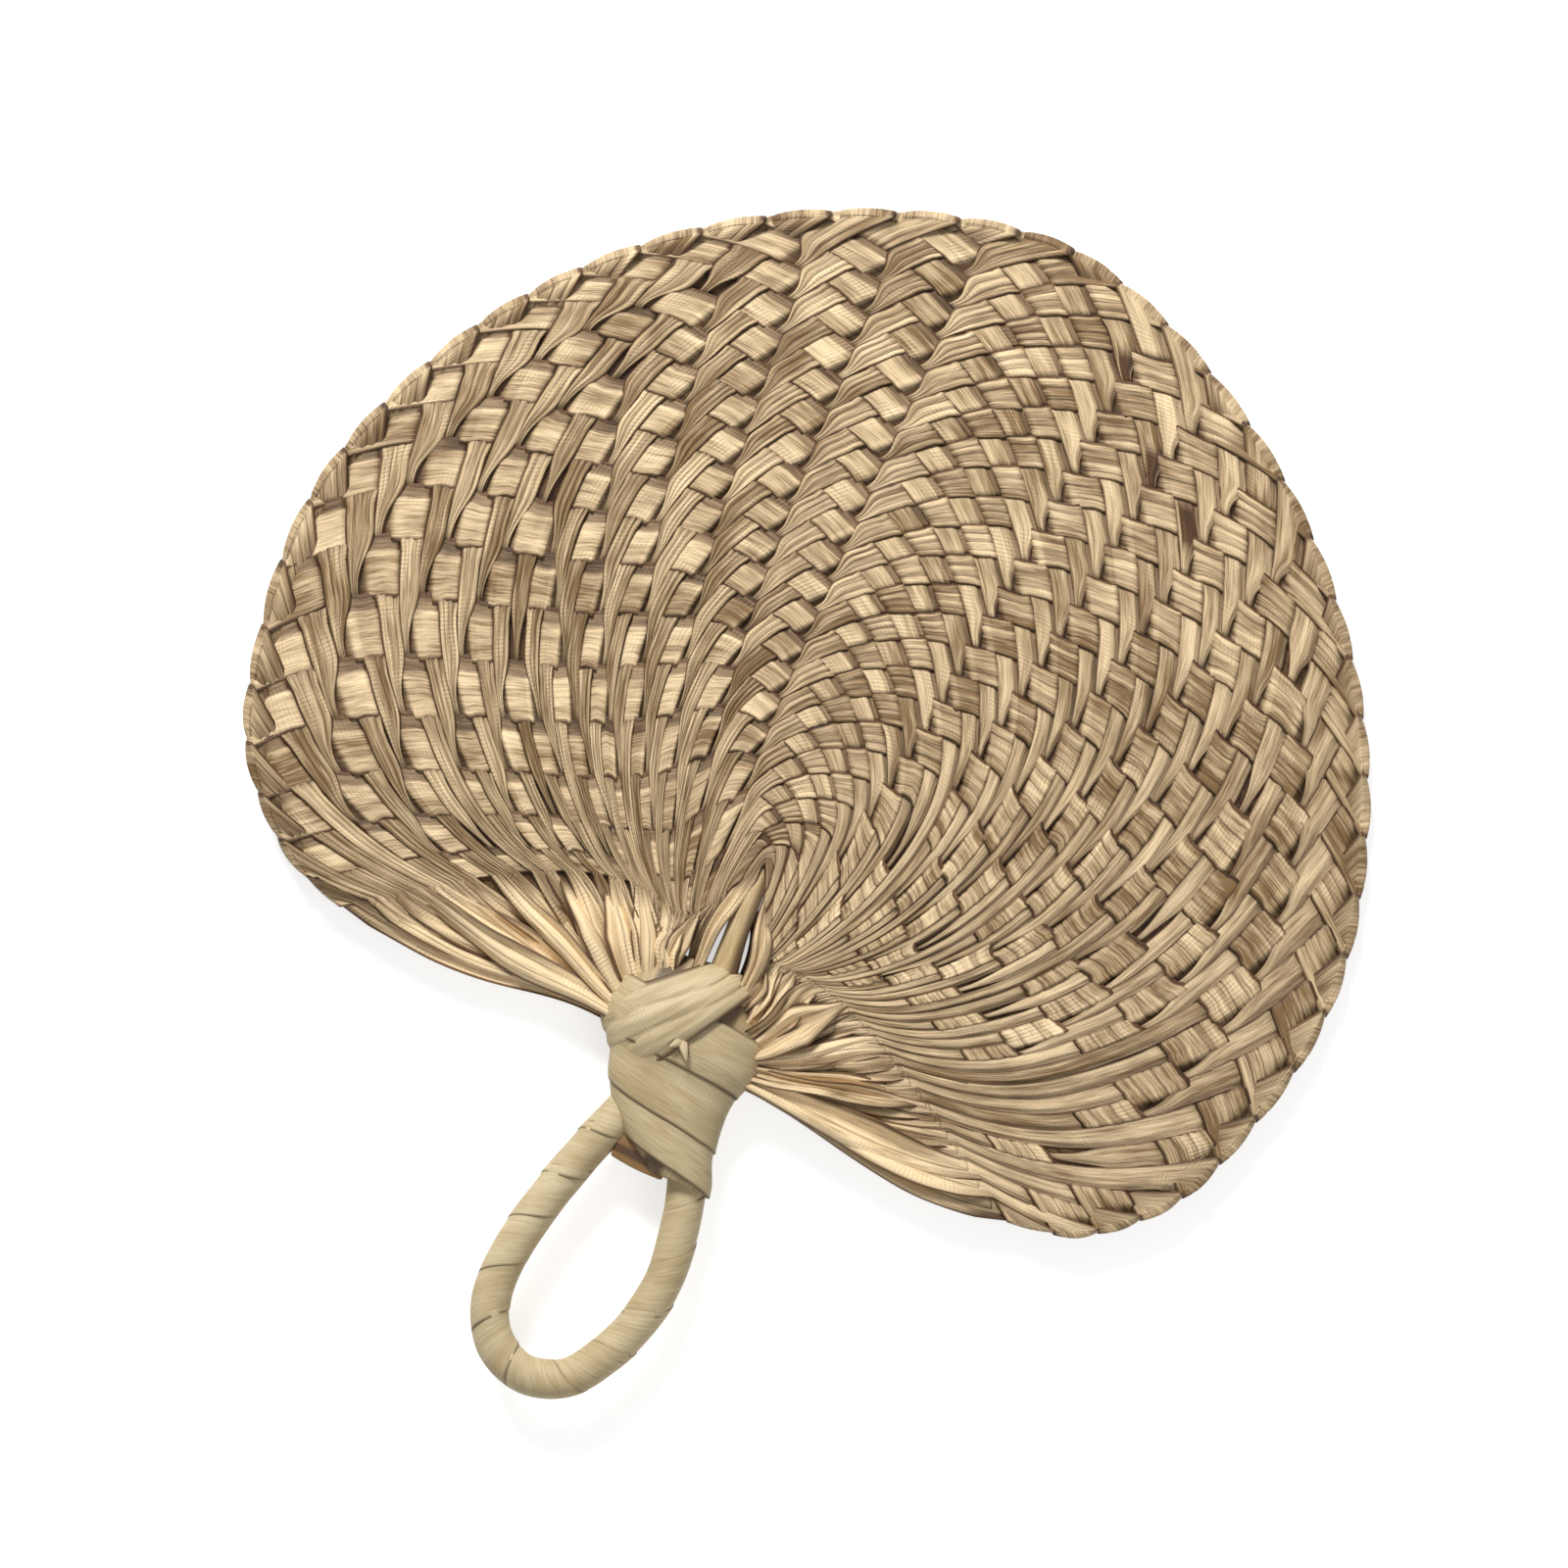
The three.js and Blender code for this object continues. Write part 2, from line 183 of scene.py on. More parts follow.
bpy.ops.mesh.primitive_plane_add(size=8)
floor = just_added("floor")
pale_floor, tree, shader = new_material("pale_floor")
glow = math_node(tree, "MULTIPLY", white_to_camera(tree), FLOOR_GLOW)
feed(tree, shader, {"Base Color": (0.86, 0.86, 0.85, 1), "Roughness": 0.9,
                    "Emission Color": (1, 1, 1, 1), "Emission Strength": glow})
floor.data.materials.append(pale_floor)
soft_lamp("key_lamp", (-800, 900, 950), 0.5, 27)
soft_lamp("fill_lamp", (900, -500, 1200), 1.4, 6)
world = bpy.data.worlds.new("studio")
bpy.context.scene.world = world
world.use_nodes = True
tree = world.node_tree
dim = fed_node(tree, "MapRange", white_to_camera(tree), 0, 1, SKY_ON_FAN)
feed(tree, tree.nodes["Background"], {"Color": (1, 1, 1, 1), "Strength": dim})
bpy.context.scene.view_settings.view_transform = "Standard"
print("floor and", len(bpy.data.lights), "lamps")

# %% [markdown]
# ## Dry leaf
# Dry palm leaf is straw-coloured, with fine fibres along the strip and paler and browner streaks. Shade is
# painted into the colour as well: darker edges where strips meet, and darker valleys between the ribs. An
# image could show that, but fibres that follow every bend need coordinates of their own. So each strip
# carries numbers: how far along and across it a point is, its tone, how much painted shade and stain it
# gets, its ribs and a seed. One node group turns them into colour and relief.

# %% The leaf fibre group
LEAF_NUMBERS = ("Along", "Across", "Tone", "Painted_shade_and_stain", "Ribs", "Seed")
FIBRE_NOISE, STREAK_NOISE, PATCH_NOISE = (130, 15, 3), (28, 2.2, 2), (75, 0.7, 1)
SEED_APART = 91.7
# Painted shade darkens a ribbon at its edges, where strips meet, and in the valleys between its ribs; on the
# stalks, whose Across repeats, the edge step draws grain lines instead.
EDGE_SHADE_AND_GRAIN, RIB_VALLEY_SHADE, HATCH_PATCH = (0.8, 0.96), (0.4, 0.0), (0.5, 0.62)
HATCH_ALONG, HATCH_ACROSS = 5200, 2.4
# The dark colour that painted shade, stains and grain lines are mixed towards.
SHADE_STAIN_AND_GRAIN_DARK, DARKEST = (0.13, 0.07, 0.028, 1), 0.96


def stretched_noise(tree, along, across, seed, along_scale, across_scale, detail):
    """Noise drawn out along a strip, so that it makes fibres and streaks."""
    scales = ((along, along_scale), (across, across_scale), (seed, SEED_APART))
    vector = fed_node(tree, "CombineXYZ", *(math_node(tree, "MULTIPLY", *pair) for pair in scales))
    settings = {"Vector": vector, "Scale": 1, "Detail": detail, "Roughness": 0.6}
    return new_node(tree, "TexNoise", settings).outputs[0]


def leaf_fibre_group():
    group = bpy.data.node_groups.new("leaf_fibre", "ShaderNodeTree")
    sockets = {"INPUT": (*LEAF_NUMBERS, "Pale", "Deep"), "OUTPUT": ("Color", "Roughness", "Height")}
    for way, names in sockets.items():
        for name in names:
            kind = "Color" if name in ("Pale", "Deep", "Color") else "Float"
            group.interface.new_socket(name, in_out=way, socket_type="NodeSocket" + kind)
    given = list(group.nodes.new("NodeGroupInput").outputs)
    made = group.nodes.new("NodeGroupOutput")
    along, across, tone, painted_shade_and_stain, ribs, seed, pale, deep = given[:len(sockets["INPUT"])]
    fibre, streak, patch = (stretched_noise(group, along, across, seed, *noise)
                            for noise in (FIBRE_NOISE, STREAK_NOISE, PATCH_NOISE))
    share = weighted_sum(group, -2.0, (fibre, 1.8), (streak, 1.5), (patch, 1.0), (tone, 0.6))
    colour = new_node(group, "Mix", {"Factor": share, "A": deep, "B": pale}, data_type="RGBA")
    # Painted shade at the edges of a ribbon, grain lines on a stalk.
    edge = soft_step(group, math_node(group, "ABSOLUTE", across), *EDGE_SHADE_AND_GRAIN)
    turns = math_node(group, "MULTIPLY", ribs, weighted_sum(group, pi / 2, (across, pi / 2)))
    wave = math_node(group, "SINE", weighted_sum(group, turns, (streak, 0.9)))
    wave = math_node(group, "ABSOLUTE", wave)
    has_ribs = math_node(group, "GREATER_THAN", ribs, 0.5)
    # Painted shade in the valleys between the ribs.
    valley_shade = math_node(group, "MULTIPLY", has_ribs, soft_step(group, wave, *RIB_VALLEY_SHADE))
    # Painted shade, stains and grain darken the colour together.
    shade = weighted_sum(group, 0.0, (edge, 0.86), (painted_shade_and_stain, 0.98), (valley_shade, 0.55))
    shade = math_node(group, "MINIMUM", shade, DARKEST)
    dark = new_node(group, "Mix", {"Factor": shade, "A": colour.outputs["Result"], "B": SHADE_STAIN_AND_GRAIN_DARK},
                    data_type="RGBA", blend_type="MULTIPLY")
    twist = math_node(group, "SINE", weighted_sum(group, 0.0, (across, HATCH_ACROSS), (along, HATCH_ALONG)))
    hatch = math_node(group, "MULTIPLY", twist, soft_step(group, patch, *HATCH_PATCH))
    rib = math_node(group, "MULTIPLY", wave, has_ribs)
    feed(group, made, {"Color": dark.outputs["Result"],
                       "Roughness": weighted_sum(group, 0.4, (fibre, 0.3)),
                       "Height": weighted_sum(group, fibre, (streak, 0.6), (hatch, 0.16), (rib, 1.2))})
    return group


LEAF_FIBRE = leaf_fibre_group()
print("leaf fibre group:", len(LEAF_FIBRE.nodes), "nodes")

# %% [markdown]
# ## Leaf finishes
# Each kind of leaf on the fan places the same group with its own pale and deep colours. The woven strips
# are tan, the bindings of the neck and the handle are paler and more even.

# %% Leaf materials
LEAF_RELIEF, STALK_RELIEF = 0.0004, 0.0003


def fibre_material(name, pale, deep, relief, relief_depth):
    """Starts a finish of leaf fibre, and gives the group's node too, for its numbers."""
    material, tree, shader = new_material(name)
    leaf = new_node(tree, "Group", {"Pale": (*pale, 1), "Deep": (*deep, 1)}, node_tree=LEAF_FIBRE)
    made = leaf.outputs
    bump = new_node(tree, "Bump", {"Strength": relief, "Distance": relief_depth, "Height": made["Height"]})
    feed(tree, shader, {"Base Color": made["Color"], "Roughness": made["Roughness"],
                        "Normal": bump.outputs["Normal"]})
    return material, tree, shader, leaf


def leaf_material(name, pale, deep, relief):
    """A finish that reads the numbers that a ribbon of leaf carries."""
    material, tree, shader, leaf = fibre_material(name, pale, deep, relief, LEAF_RELIEF)
    for number in LEAF_NUMBERS:
        reading = new_node(tree, "Attribute", attribute_name=number.lower())
        feed(tree, leaf, {number: reading.outputs["Fac"]})
    feed(tree, shader, {"Specular IOR Level": 0.35})
    return material


woven_leaf = leaf_material("woven_leaf", (0.96, 0.735, 0.445), (0.2, 0.115, 0.043), 0.8)
neck_leaf = leaf_material("neck_leaf", (0.6, 0.49, 0.3), (0.4, 0.3, 0.155), 0.35)
handle_leaf = leaf_material("handle_leaf", (0.64, 0.53, 0.33), (0.44, 0.33, 0.17), 0.35)
print("leaf materials ready")

# %% [markdown]
# ## A ribbon of leaf
# Every strip, strand and binding on this fan is a ribbon: rows of points across the leaf, one row after
# another along it. A curve with a flat profile could make one, but the ribs and folds across the leaf
# change from place to place. So the rows are worked out first, joined into a mesh and given their numbers for
# the material, and then a Solidify modifier gives the leaf its thickness. Leaf that would go under the
# floor is pressed flat on it. The last functions here help to draw rows.

# %% The ribbon maker
def leaf_ribbon(name, rows, material, tone, painted_shade_and_stain=0.0, ribs=0.0, thickness=0.35, reach=1.0):
    """Makes one leaf ribbon from flat rows of points, shaped (rows, columns, 3), in millimetres."""
    count, columns, _ = rows.shape
    number = np.arange(count * columns).reshape(count, columns)
    faces = np.stack([number[:-1, :-1], number[1:, :-1], number[1:, 1:], number[:-1, 1:]], axis=-1)
    mesh = bpy.data.meshes.new(name)
    places = lay_down(rows.reshape(-1, 3))
    places[:, 2] = np.maximum(places[:, 2], thickness * MM)
    mesh.from_pydata(places.tolist(), [], faces.reshape(-1, 4).tolist())
    steps = np.linalg.norm(np.diff(rows[:, columns // 2], axis=0), axis=1)
    numbers = {
        "along": (np.concatenate([[0], np.cumsum(steps)]) * MM)[:, None],
        # Across runs out to reach at the edges, so a reach under 1 leaves the painted edge shade lighter, as
        # on the seams of the bindings.
        "across": np.linspace(-reach, reach, columns),
        "tone": np.reshape(tone, (-1, 1)),
        "painted_shade_and_stain": painted_shade_and_stain,
        "ribs": ribs,
        "seed": np.mean(tone),
    }
    for key, values in numbers.items():
        values = np.broadcast_to(values, (count, columns)).ravel().astype(np.float32)
        mesh.attributes.new(key, "FLOAT", "POINT").data.foreach_set("value", values)
    piece = bpy.data.objects.new(name, mesh)
    bpy.context.scene.collection.objects.link(piece)
    mesh.materials.append(material)
    mesh.shade_smooth()
    shell = piece.modifiers.new("leaf_thickness", "SOLIDIFY")
    shell.thickness = thickness * MM
    shell.offset = 0
    bpy.context.view_layer.objects.active = piece
    bpy.ops.object.modifier_apply(modifier=shell.name)
    return piece


def keep_piece(piece, slot, *nodes):
    """Rides a finished piece on the fan and hides the solids that it stands for."""
    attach(piece, "root")
    if nodes:
        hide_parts(*nodes)


def smooth(t):
    t = np.clip(t, 0, 1)
    return t * t * (3 - 2 * t)


def ramp(value, low, high):
    """A soft step from 0 at low to 1 at high."""
    return smooth((value - low) / (high - low))


def mix(a, b, t):
    return a + (b - a) * t


def unit(ways):
    return ways / np.linalg.norm(ways, axis=-1, keepdims=True)


def raised(flat, lift):
    return np.concatenate([flat, lift[..., None]], axis=-1)


def curve(first, last, start, end, t):
    """A smooth curve from first to last, with its slopes at both."""
    rise = last - first
    return first + start * t + (3 * rise - 2 * start - end) * t**2 + (start + end - 2 * rise) * t**3


print("ribbon maker ready")

# %% [markdown]
# ## The plait
# The blade is a right-angled corner of plain lattice, with its two short sides at the neck and its long
# side bent round as the rim. A place in it is counted in strips: a for the strips that rise from the left of
# the neck, b for those that fall to the right. Their sum says how far out the place is, and their difference
# how far to one side. Towards the neck the lattice sags, and near the rim its rows lean over.

# %% Places of the plait
STRIPS = 44
SHEET_REACH = 44.8
RIM_STEP = radians(20)
RIM_RADII = np.array([195, 186, 178, 172, 166.5, 153, 127])
SWINGS, CORE_SWINGS = (1.8, 0.75, -0.53), (0.76, 0.88)
RING_POWER, RING_POWER_SIDES = 1.13, 0.38
NOTCH, NOTCH_REACH, NOTCH_ROUNDING = 0.3, 0.7, 0.2
SAG, SAG_FROM, SAG_CORE = 0.65, 0.35, 0.08
SAG_TO = np.array([(-13, -46), (18, -46)])
CORNER_TURN, TURN_FROM, TURN_RING = (0.12, 0.06), 0.6, 0.3
CORNER_ROUND, ROUND_FROM, ROUND_MOST, ROUND_RING = 0.06, 0.91, 1.3, 0.8
CORNER_FULL, FULL_ANGLES = 0.06, (1.55, 2.0)
RIM_LEAN, LEAN_FROM, LEAN_POWER = 0.11, 0.88, 1.6
LEAN_STARTS, LEAN_FADES = (0, 0.4), (0.7, 1)


def rim_radius(angle):
    """The rim's distance from the centre, on a smooth curve through its radii."""
    steps = np.abs(angle) / RIM_STEP
    first = np.clip(np.floor(steps).astype(int), 0, len(RIM_RADII) - 2)
    radii = [RIM_RADII[np.clip(first + i, 0, len(RIM_RADII) - 1)] for i in (-1, 0, 1, 2)]
    slopes = (radii[2] - radii[0]) / 2, (radii[3] - radii[1]) / 2
    return curve(radii[1], radii[2], *slopes, steps - first)


def weave_place(a, b):
    """The flat place of a point of the plait."""
    total = np.maximum(a + b, 1e-6)
    ring = total / SHEET_REACH
    swing = (b - a) / total
    off = np.abs(swing)
    core = mix(*CORE_SWINGS, smooth(swing / 2 + 0.5))
    angle = sum(share * swing**k for share, k in zip(SWINGS, (1, 3, 5))) * mix(core, 1, ring)
    turn = np.where(swing < 0, *CORNER_TURN) * ramp(off, TURN_FROM, 1) * ramp(ring, TURN_RING, 1)
    leaning = ramp(off, *LEAN_STARTS) * (1 - ramp(off, *LEAN_FADES))
    outwards = np.maximum((ring - LEAN_FROM) / (1 - LEAN_FROM), 0)
    angle = angle + np.sign(swing) * (turn + RIM_LEAN * leaning * outwards**LEAN_POWER)
    off_spine = np.hypot(angle, NOTCH_ROUNDING) - NOTCH_ROUNDING
    dip = NOTCH * NOTCH_REACH * np.tanh(off_spine / NOTCH_REACH) * (1 - ring)
    power = RING_POWER + RING_POWER_SIDES * angle**2 * np.sqrt(ring)
    into_corner = np.clip((off - ROUND_FROM) / (1 - ROUND_FROM), 0, ROUND_MOST)
    corner = CORNER_ROUND * into_corner**2 * ramp(ring, ROUND_RING, 1)
    radius = rim_radius(angle) * ring**power * np.exp(dip - corner)
    radius = radius * (1 + CORNER_FULL * ramp(np.abs(angle), *FULL_ANGLES))
    place = np.stack([radius * np.sin(angle), radius * np.cos(angle)], axis=-1)
    sag = SAG * ramp(off, SAG_FROM, 1) * (1 - ring) * (1 - np.exp(-ring / SAG_CORE))
    return mix(place, np.where(swing[..., None] < 0, *SAG_TO), sag[..., None])


print("the tip of the plait is at", weave_place(np.array(22.0), np.array(22.0)).round(1))

# %% [markdown]
# ## Over and under
# A strip passes over two and under one. At the sides these floats step along the rows, which makes rows of
# squares, and at the spine they turn round, which makes the chevrons. Beside the neck some strips lie loose
# on top, for longer on the right. A list of all crossings would do, but one rule is easier to change.

# %% Crossings of the plait
OUTER_LEFT, OUTER_RIGHT, TWILL = 17, 15, 3
LOOSE_RUNS = np.random.default_rng(7).integers(0, 5, STRIPS)


def rising_is_over(rising, falling):
    """Tells if a rising strip lies over a falling one where they cross."""
    depth = rising - falling
    column = rising + falling - (STRIPS - 1)
    if falling < LOOSE_RUNS[rising] // 2 and column < -OUTER_LEFT / 2:
        return True
    if STRIPS - 1 - rising < LOOSE_RUNS[falling] and column > OUTER_RIGHT / 2:
        return False
    if falling >= STRIPS - OUTER_RIGHT:
        return depth % TWILL == 1
    if rising < OUTER_LEFT:
        return depth % TWILL != 1
    return -column % TWILL != 1 if column <= 0 else column % TWILL == 2


def crossed_shows(side, strip, k):
    """Tells if what an arm crosses at place k lies over it. Outside the plait it tells nothing."""
    rising, falling = (strip, k) if side < 0 else (STRIPS - 1 - k, strip)
    if 0 <= falling < rising < STRIPS:
        return rising_is_over(rising, falling) == (side > 0)


def arm_levels(strip, side):
    """+1 where an arm lies over what it crosses and -1 where it lies under, from the neck outwards."""
    count = strip if side < 0 else STRIPS - 1 - strip
    return np.array([-1.0 if crossed_shows(side, strip, k) else 1.0 for k in range(count)])


print("crossings:", sum(len(arm_levels(k, -1)) for k in range(STRIPS)))

# %% [markdown]
# ## Floats and steps
# A strip has two arms, one on each side of its fold at the rim. Where an arm floats over two crossings it
# starts narrow, away from the square beside it, widens and ends blunt. Where it shows for one crossing only
# it is a plain square, which reaches as far as the narrow start of the next float lets it. An even width
# would be simpler, but then the plait looks woven by a machine.

# %% Floats and steps of an arm
PLAIN_HALF, UNDER_HALF = {-1: 0.53, 1: 0.54}, 0.58
FLOAT_HALVES = {-1: (0.14, 0.51, 0.47), 1: (0.18, 0.55, 0.5)}
FLOAT_WIDEST, FLOAT_BLUNT = 0.56, 0.96
FLOAT_POINT = 1.5
EARLY, LATE_STEP = 0.14, 0.42


def float_runs(levels):
    """Where each crossing's run of overs or unders starts, and how long the run is."""
    changes = np.concatenate([[0], np.flatnonzero(np.diff(levels)) + 1, [len(levels)]])
    lengths = np.diff(changes)
    return np.repeat(changes[:-1], lengths), np.repeat(lengths, lengths)


def square_beside(strip, side, k):
    """On which side the strip crossed at place k shows as a square: -1, 0 or 1, pointing away from it."""
    before, after = (bool(crossed_shows(side, strip + step, k)) for step in (-1, 1))
    return side * (before - after)


def float_width(strip, side, levels, t):
    """Half width of an arm at places t, counted in crossings, and how far its middle is moved aside."""
    starts, lengths = float_runs(levels)
    at = np.clip((t + EARLY).astype(int), 0, len(levels) - 1)
    through = np.clip((t - starts[at]) / lengths[at], 0, 1)
    through = np.where(starts[at] == 0, np.maximum(through, FLOAT_WIDEST), through)
    narrow, wide, blunt = FLOAT_HALVES[side]
    opens = through < FLOAT_WIDEST
    opening = mix(narrow, wide, smooth(through / FLOAT_WIDEST)**FLOAT_POINT)
    width = np.where(opens, opening, mix(wide, blunt, ramp(through, FLOAT_WIDEST, FLOAT_BLUNT)))
    floats = (levels > 0) & (lengths > 1)
    away = np.array([square_beside(strip, side, k) for k in starts]) * floats
    half = np.where(floats[at], width, np.where(levels[at] > 0, PLAIN_HALF[side], UNDER_HALF))
    aside = np.where(opens, (wide - opening) * away[at], 0)
    blur = np.ones(3) / 3
    return [np.convolve(np.pad(values, 1, mode="edge"), blur, mode="valid") for values in (half, aside)]


def crossed_at_start(strip, side, k):
    """Tells if the strip crossed at place k has just come up there, so that it is narrow."""
    return [crossed_shows(side, strip + step, k) for step in (-side, 0, side)] == [False, True, True]


def step_places(strip, side, levels):
    """Where an arm steps up or down: between two crossings, or later beside a narrow start."""
    places = np.arange(1.0, len(levels))
    for k in range(len(levels) - 1):
        if levels[k] > levels[k + 1] and crossed_at_start(strip, side, k + 1):
            places[k] += LATE_STEP
        if levels[k] < levels[k + 1] and crossed_at_start(strip, side, k):
            places[k] -= LATE_STEP
    return places


def arm_level(levels, places, t, step_half):
    """Height of an arm between -1 and 1, with steps at the given places."""
    height = np.full(len(t), levels[0])
    for k, place in enumerate(places):
        height += (levels[k + 1] - levels[k]) * ramp(t, place - step_half, place + step_half)
    return height


print("steps of the tenth strip:", step_places(9, -1, arm_levels(9, -1)))

# %% [markdown]
# ## One arm of a strip
# The rising arms are leaves folded into three or four ribs, and the falling ones are flat with a thin second
# edge a step lower, darker partly as browner leaf and partly as painted shade. No two floats are quite alike.
# The points also carry how dark they are: painted shade where they dive under their neighbours, darker at
# the centre of the plait, and the brown stains on two of the arms.

# %% Rows of a woven arm
COLUMNS = 17
ACROSS = np.linspace(-1, 1, COLUMNS)
ROWS_A_CROSSING = 10
# SHADE_HALF spreads the painted shade at each step a little wider than the step itself.
STEP_HALF, SHADE_HALF = 0.12, 0.23
WEAVE_RISE = 0.8
ARM_RIBS, RIB_HEIGHT, RIB_FULLNESS, RIB_CROWN, RIB_LEAN = (3, 5), 0.4, 0.7, 0.2, 0.12
SECOND_EDGE, SECOND_STEP, SECOND_DROP, SECOND_SHADE = 0.4, (-0.08, 0.04), 0.45, (0.45, 0.7)
FLAT_CROWN = 0.15
TONE_VARIES, WANDERS, TILTS, WIDTH_VARIES = 0.14, 0.022, 0.27, 0.035
RIM_HALF, RIM_TILT, RIM_FLATTER = 0.56, 1.6, 0.6
FOLD_RADIUS = 0.9
CENTRE_DARKER, CENTRE_DARKER_REACH = 0.45, 3.5
STAINS = ((22, 15.6), (23, 14.3), (22, 18.4))
STAIN_SHADE, STAIN_LENGTH, STAIN_HALF = 1.1, 0.65, 0.65
hand = np.random.default_rng(44)


def ribbed(ribs, lean_over):
    """A leaf folded into ribs: rounded tops and sharp valleys."""
    bent = ACROSS + lean_over * (1 - ACROSS**2)
    tops = np.abs(np.sin(ribs * pi * (bent + 1) / 2))**RIB_FULLNESS
    return RIB_HEIGHT * tops + RIB_CROWN * (1 - ACROSS**2)


def flat_with_edge():
    """A flat leaf with a step down to a thin second edge on its outer side."""
    return FLAT_CROWN * (1 - ACROSS**2) - SECOND_DROP * ramp(ACROSS - SECOND_EDGE, *SECOND_STEP)


def dark_spots(strip, side, t, total):
    """Darker at the centre of the plait, and the brown stains."""
    spots = CENTRE_DARKER * np.exp(-(total / CENTRE_DARKER_REACH)**2)
    for stained, place in STAINS:
        if side > 0 and strip == stained:
            length = np.exp(-((t[:, None] - place) / STAIN_LENGTH)**4)
            spots = spots + STAIN_SHADE * length * (np.abs(ACROSS) < STAIN_HALF)
    return spots


def woven_arm(strip, side):
    """Rows of an arm from the edge of the plait to the fold, how dark each point is, and the rows' tones."""
    levels = arm_levels(strip, side)
    count = len(levels)
    centre = STRIPS - strip - 0.5 if side < 0 else strip + 0.5
    last = max(count - 0.5, 0)
    regular = np.linspace(0, last, max(2, round(last * ROWS_A_CROSSING) + 1))
    ending = np.linspace(0, 1, ROWS_A_CROSSING + 1)[1:]
    t = np.concatenate([regular, np.full(len(ending), last)])
    u = np.concatenate([np.zeros(len(regular)), ending])[:, None]
    level, shade, run_tone, aside = (np.zeros(len(t)) for _ in range(4))
    half = np.full(len(t), PLAIN_HALF[side])
    if count:
        places = step_places(strip, side, levels)
        level, shade = (arm_level(levels, places, t, step_half) for step_half in (STEP_HALF, SHADE_HALF))
        half, aside = float_width(strip, side, levels, t)
        tones = hand.normal(0, TONE_VARIES, count)[float_runs(levels)[0]]
        run_tone = tones[np.clip(t.astype(int), 0, count - 1)]
    marks = np.arange(count + 2) - 0.5
    wander, tilt, wider = (np.interp(t, marks, hand.normal(0, size, count + 2))
                           for size in (WANDERS, TILTS, WIDTH_VARIES))
    half = (half * (1 + wider))[:, None]
    profile = ribbed(hand.integers(*ARM_RIBS), hand.normal(0, RIB_LEAN)) if side < 0 else flat_with_edge()
    offset = mix(half, RIM_HALF, smooth(u)) * ACROSS + (wander + aside)[:, None] * (1 - u)
    run = mix(t[:, None], count + 0.5 - offset, u)
    flat = weave_place(centre + offset, run) if side < 0 else weave_place(run, centre + offset)
    on_top = (side < 0) == (strip < STRIPS / 2)
    base = mix((level * WEAVE_RISE)[:, None], FOLD_RADIUS if on_top else -FOLD_RADIUS, smooth(u))
    relief = profile * np.minimum(half / PLAIN_HALF[side], 1) + tilt[:, None] * ACROSS
    lift = base + relief * (1 - RIM_FLATTER * u**2) - RIM_TILT * ACROSS * smooth(u)
    # Painted shade where the arm dives under its neighbours, and on the second edge, which is also browner
    # leaf.
    second = SECOND_SHADE[strip < STRIPS / 2] * (ACROSS > SECOND_EDGE) * (side > 0)
    painted_shade_and_stain = (1 - shade[:, None]) / 2 * (1 - u) + second + dark_spots(strip, side, t, centre + run)
    return raised(flat, lift), painted_shade_and_stain, run_tone


print("an arm of the middle strip has", len(woven_arm(22, -1)[0]), "rows")

# %% [markdown]
# ## The fold at the rim
# At the rim a strip turns over its own edge and comes back on the other side of the sheet. The fold is a
# half circle of rows between the two arms, pushed outwards at its middle, so that the rim is scalloped.

# %% Rows of the rim fold
FOLD_STEPS = 7
# The fold is a little browner all over, and painted shade darkens it towards its edges, where the scallops
# meet.
FOLD_SHADE = 0.16 + 0.6 * np.abs(ACROSS)**4
SCALLOP, END_SCALLOP, SCALLOP_SKEW = 1.7, 0.4, 0.2


def rim_fold(start, end, scallop):
    """Rows that roll from the last row of the rising arm to the first row of the falling arm."""
    outward = unit((start + end)[:, :2])
    bulge = FOLD_RADIUS + scallop * (1 - ((ACROSS + SCALLOP_SKEW) / (1 + SCALLOP_SKEW))**2)
    rows = []
    for angle in np.linspace(0, pi, FOLD_STEPS + 2)[1:-1]:
        row = mix(start, end, (1 - cos(angle)) / 2)
        row[:, :2] += outward * (bulge * sin(angle))[:, None]
        rows.append(row)
    return np.array(rows)


print("rows in a fold:", FOLD_STEPS)

# %% [markdown]
# ## Strands at the neck
# Below the plait each strip runs free, pleats together and bends into the side of the neck. A strand follows
# a Bezier curve from the edge of the plait to its place in the neck. Its rank counts outwards from the
# middle. Inner strands are slim and leave a gap beside the stick, outer ones are broad and hang lower.

# %% Ways of the strands
NECK_X = 2.4
GATHER_FROM, GATHER_TO = np.array([-5.2, -40]), np.array([-18, -57.5])
GATHER_HEADINGS = (-1.45, -0.05)
GATHER_HANDLE, TOWARDS_NECK = 0.33, 0.65
GATHER_LAYERS, FIRST_LAYER = 5, 4
INNER_SPREAD, INNER_RUNS = 0.3, (4.2, 18.2)
BESIDE_STICK, GAP_MOVES, GAP_RUNS = 3, (1.6, -4.0), (3, 14)
OUTER_DROPS, OUTER_RUNS = {-1: 0.22, 1: 0.3}, (28, 43)
STRAND_WIDE, TOP_WIDE, OUTER_WIDE = 3.0, 4.0, 5.0
OUTER_RANK = 32
BROAD_RANKS, BROAD_WIDE = (25, 26, 30), 5.8
STRAND_SPREAD, STRAND_BELLY, STRAND_END = (0, 0.12, 0.45, 1), 1.4, 2.0
SLIM, SLIM_LESS, SLIM_RUNS, SLIM_BY = 0.55, 0.73, (4, 16), 0.3


def bezier(points, u):
    p0, p1, p2, p3 = points
    u = u[:, None]
    return (1 - u)**3 * p0 + 3 * (1 - u)**2 * u * p1 + 3 * (1 - u) * u**2 * p2 + u**3 * p3


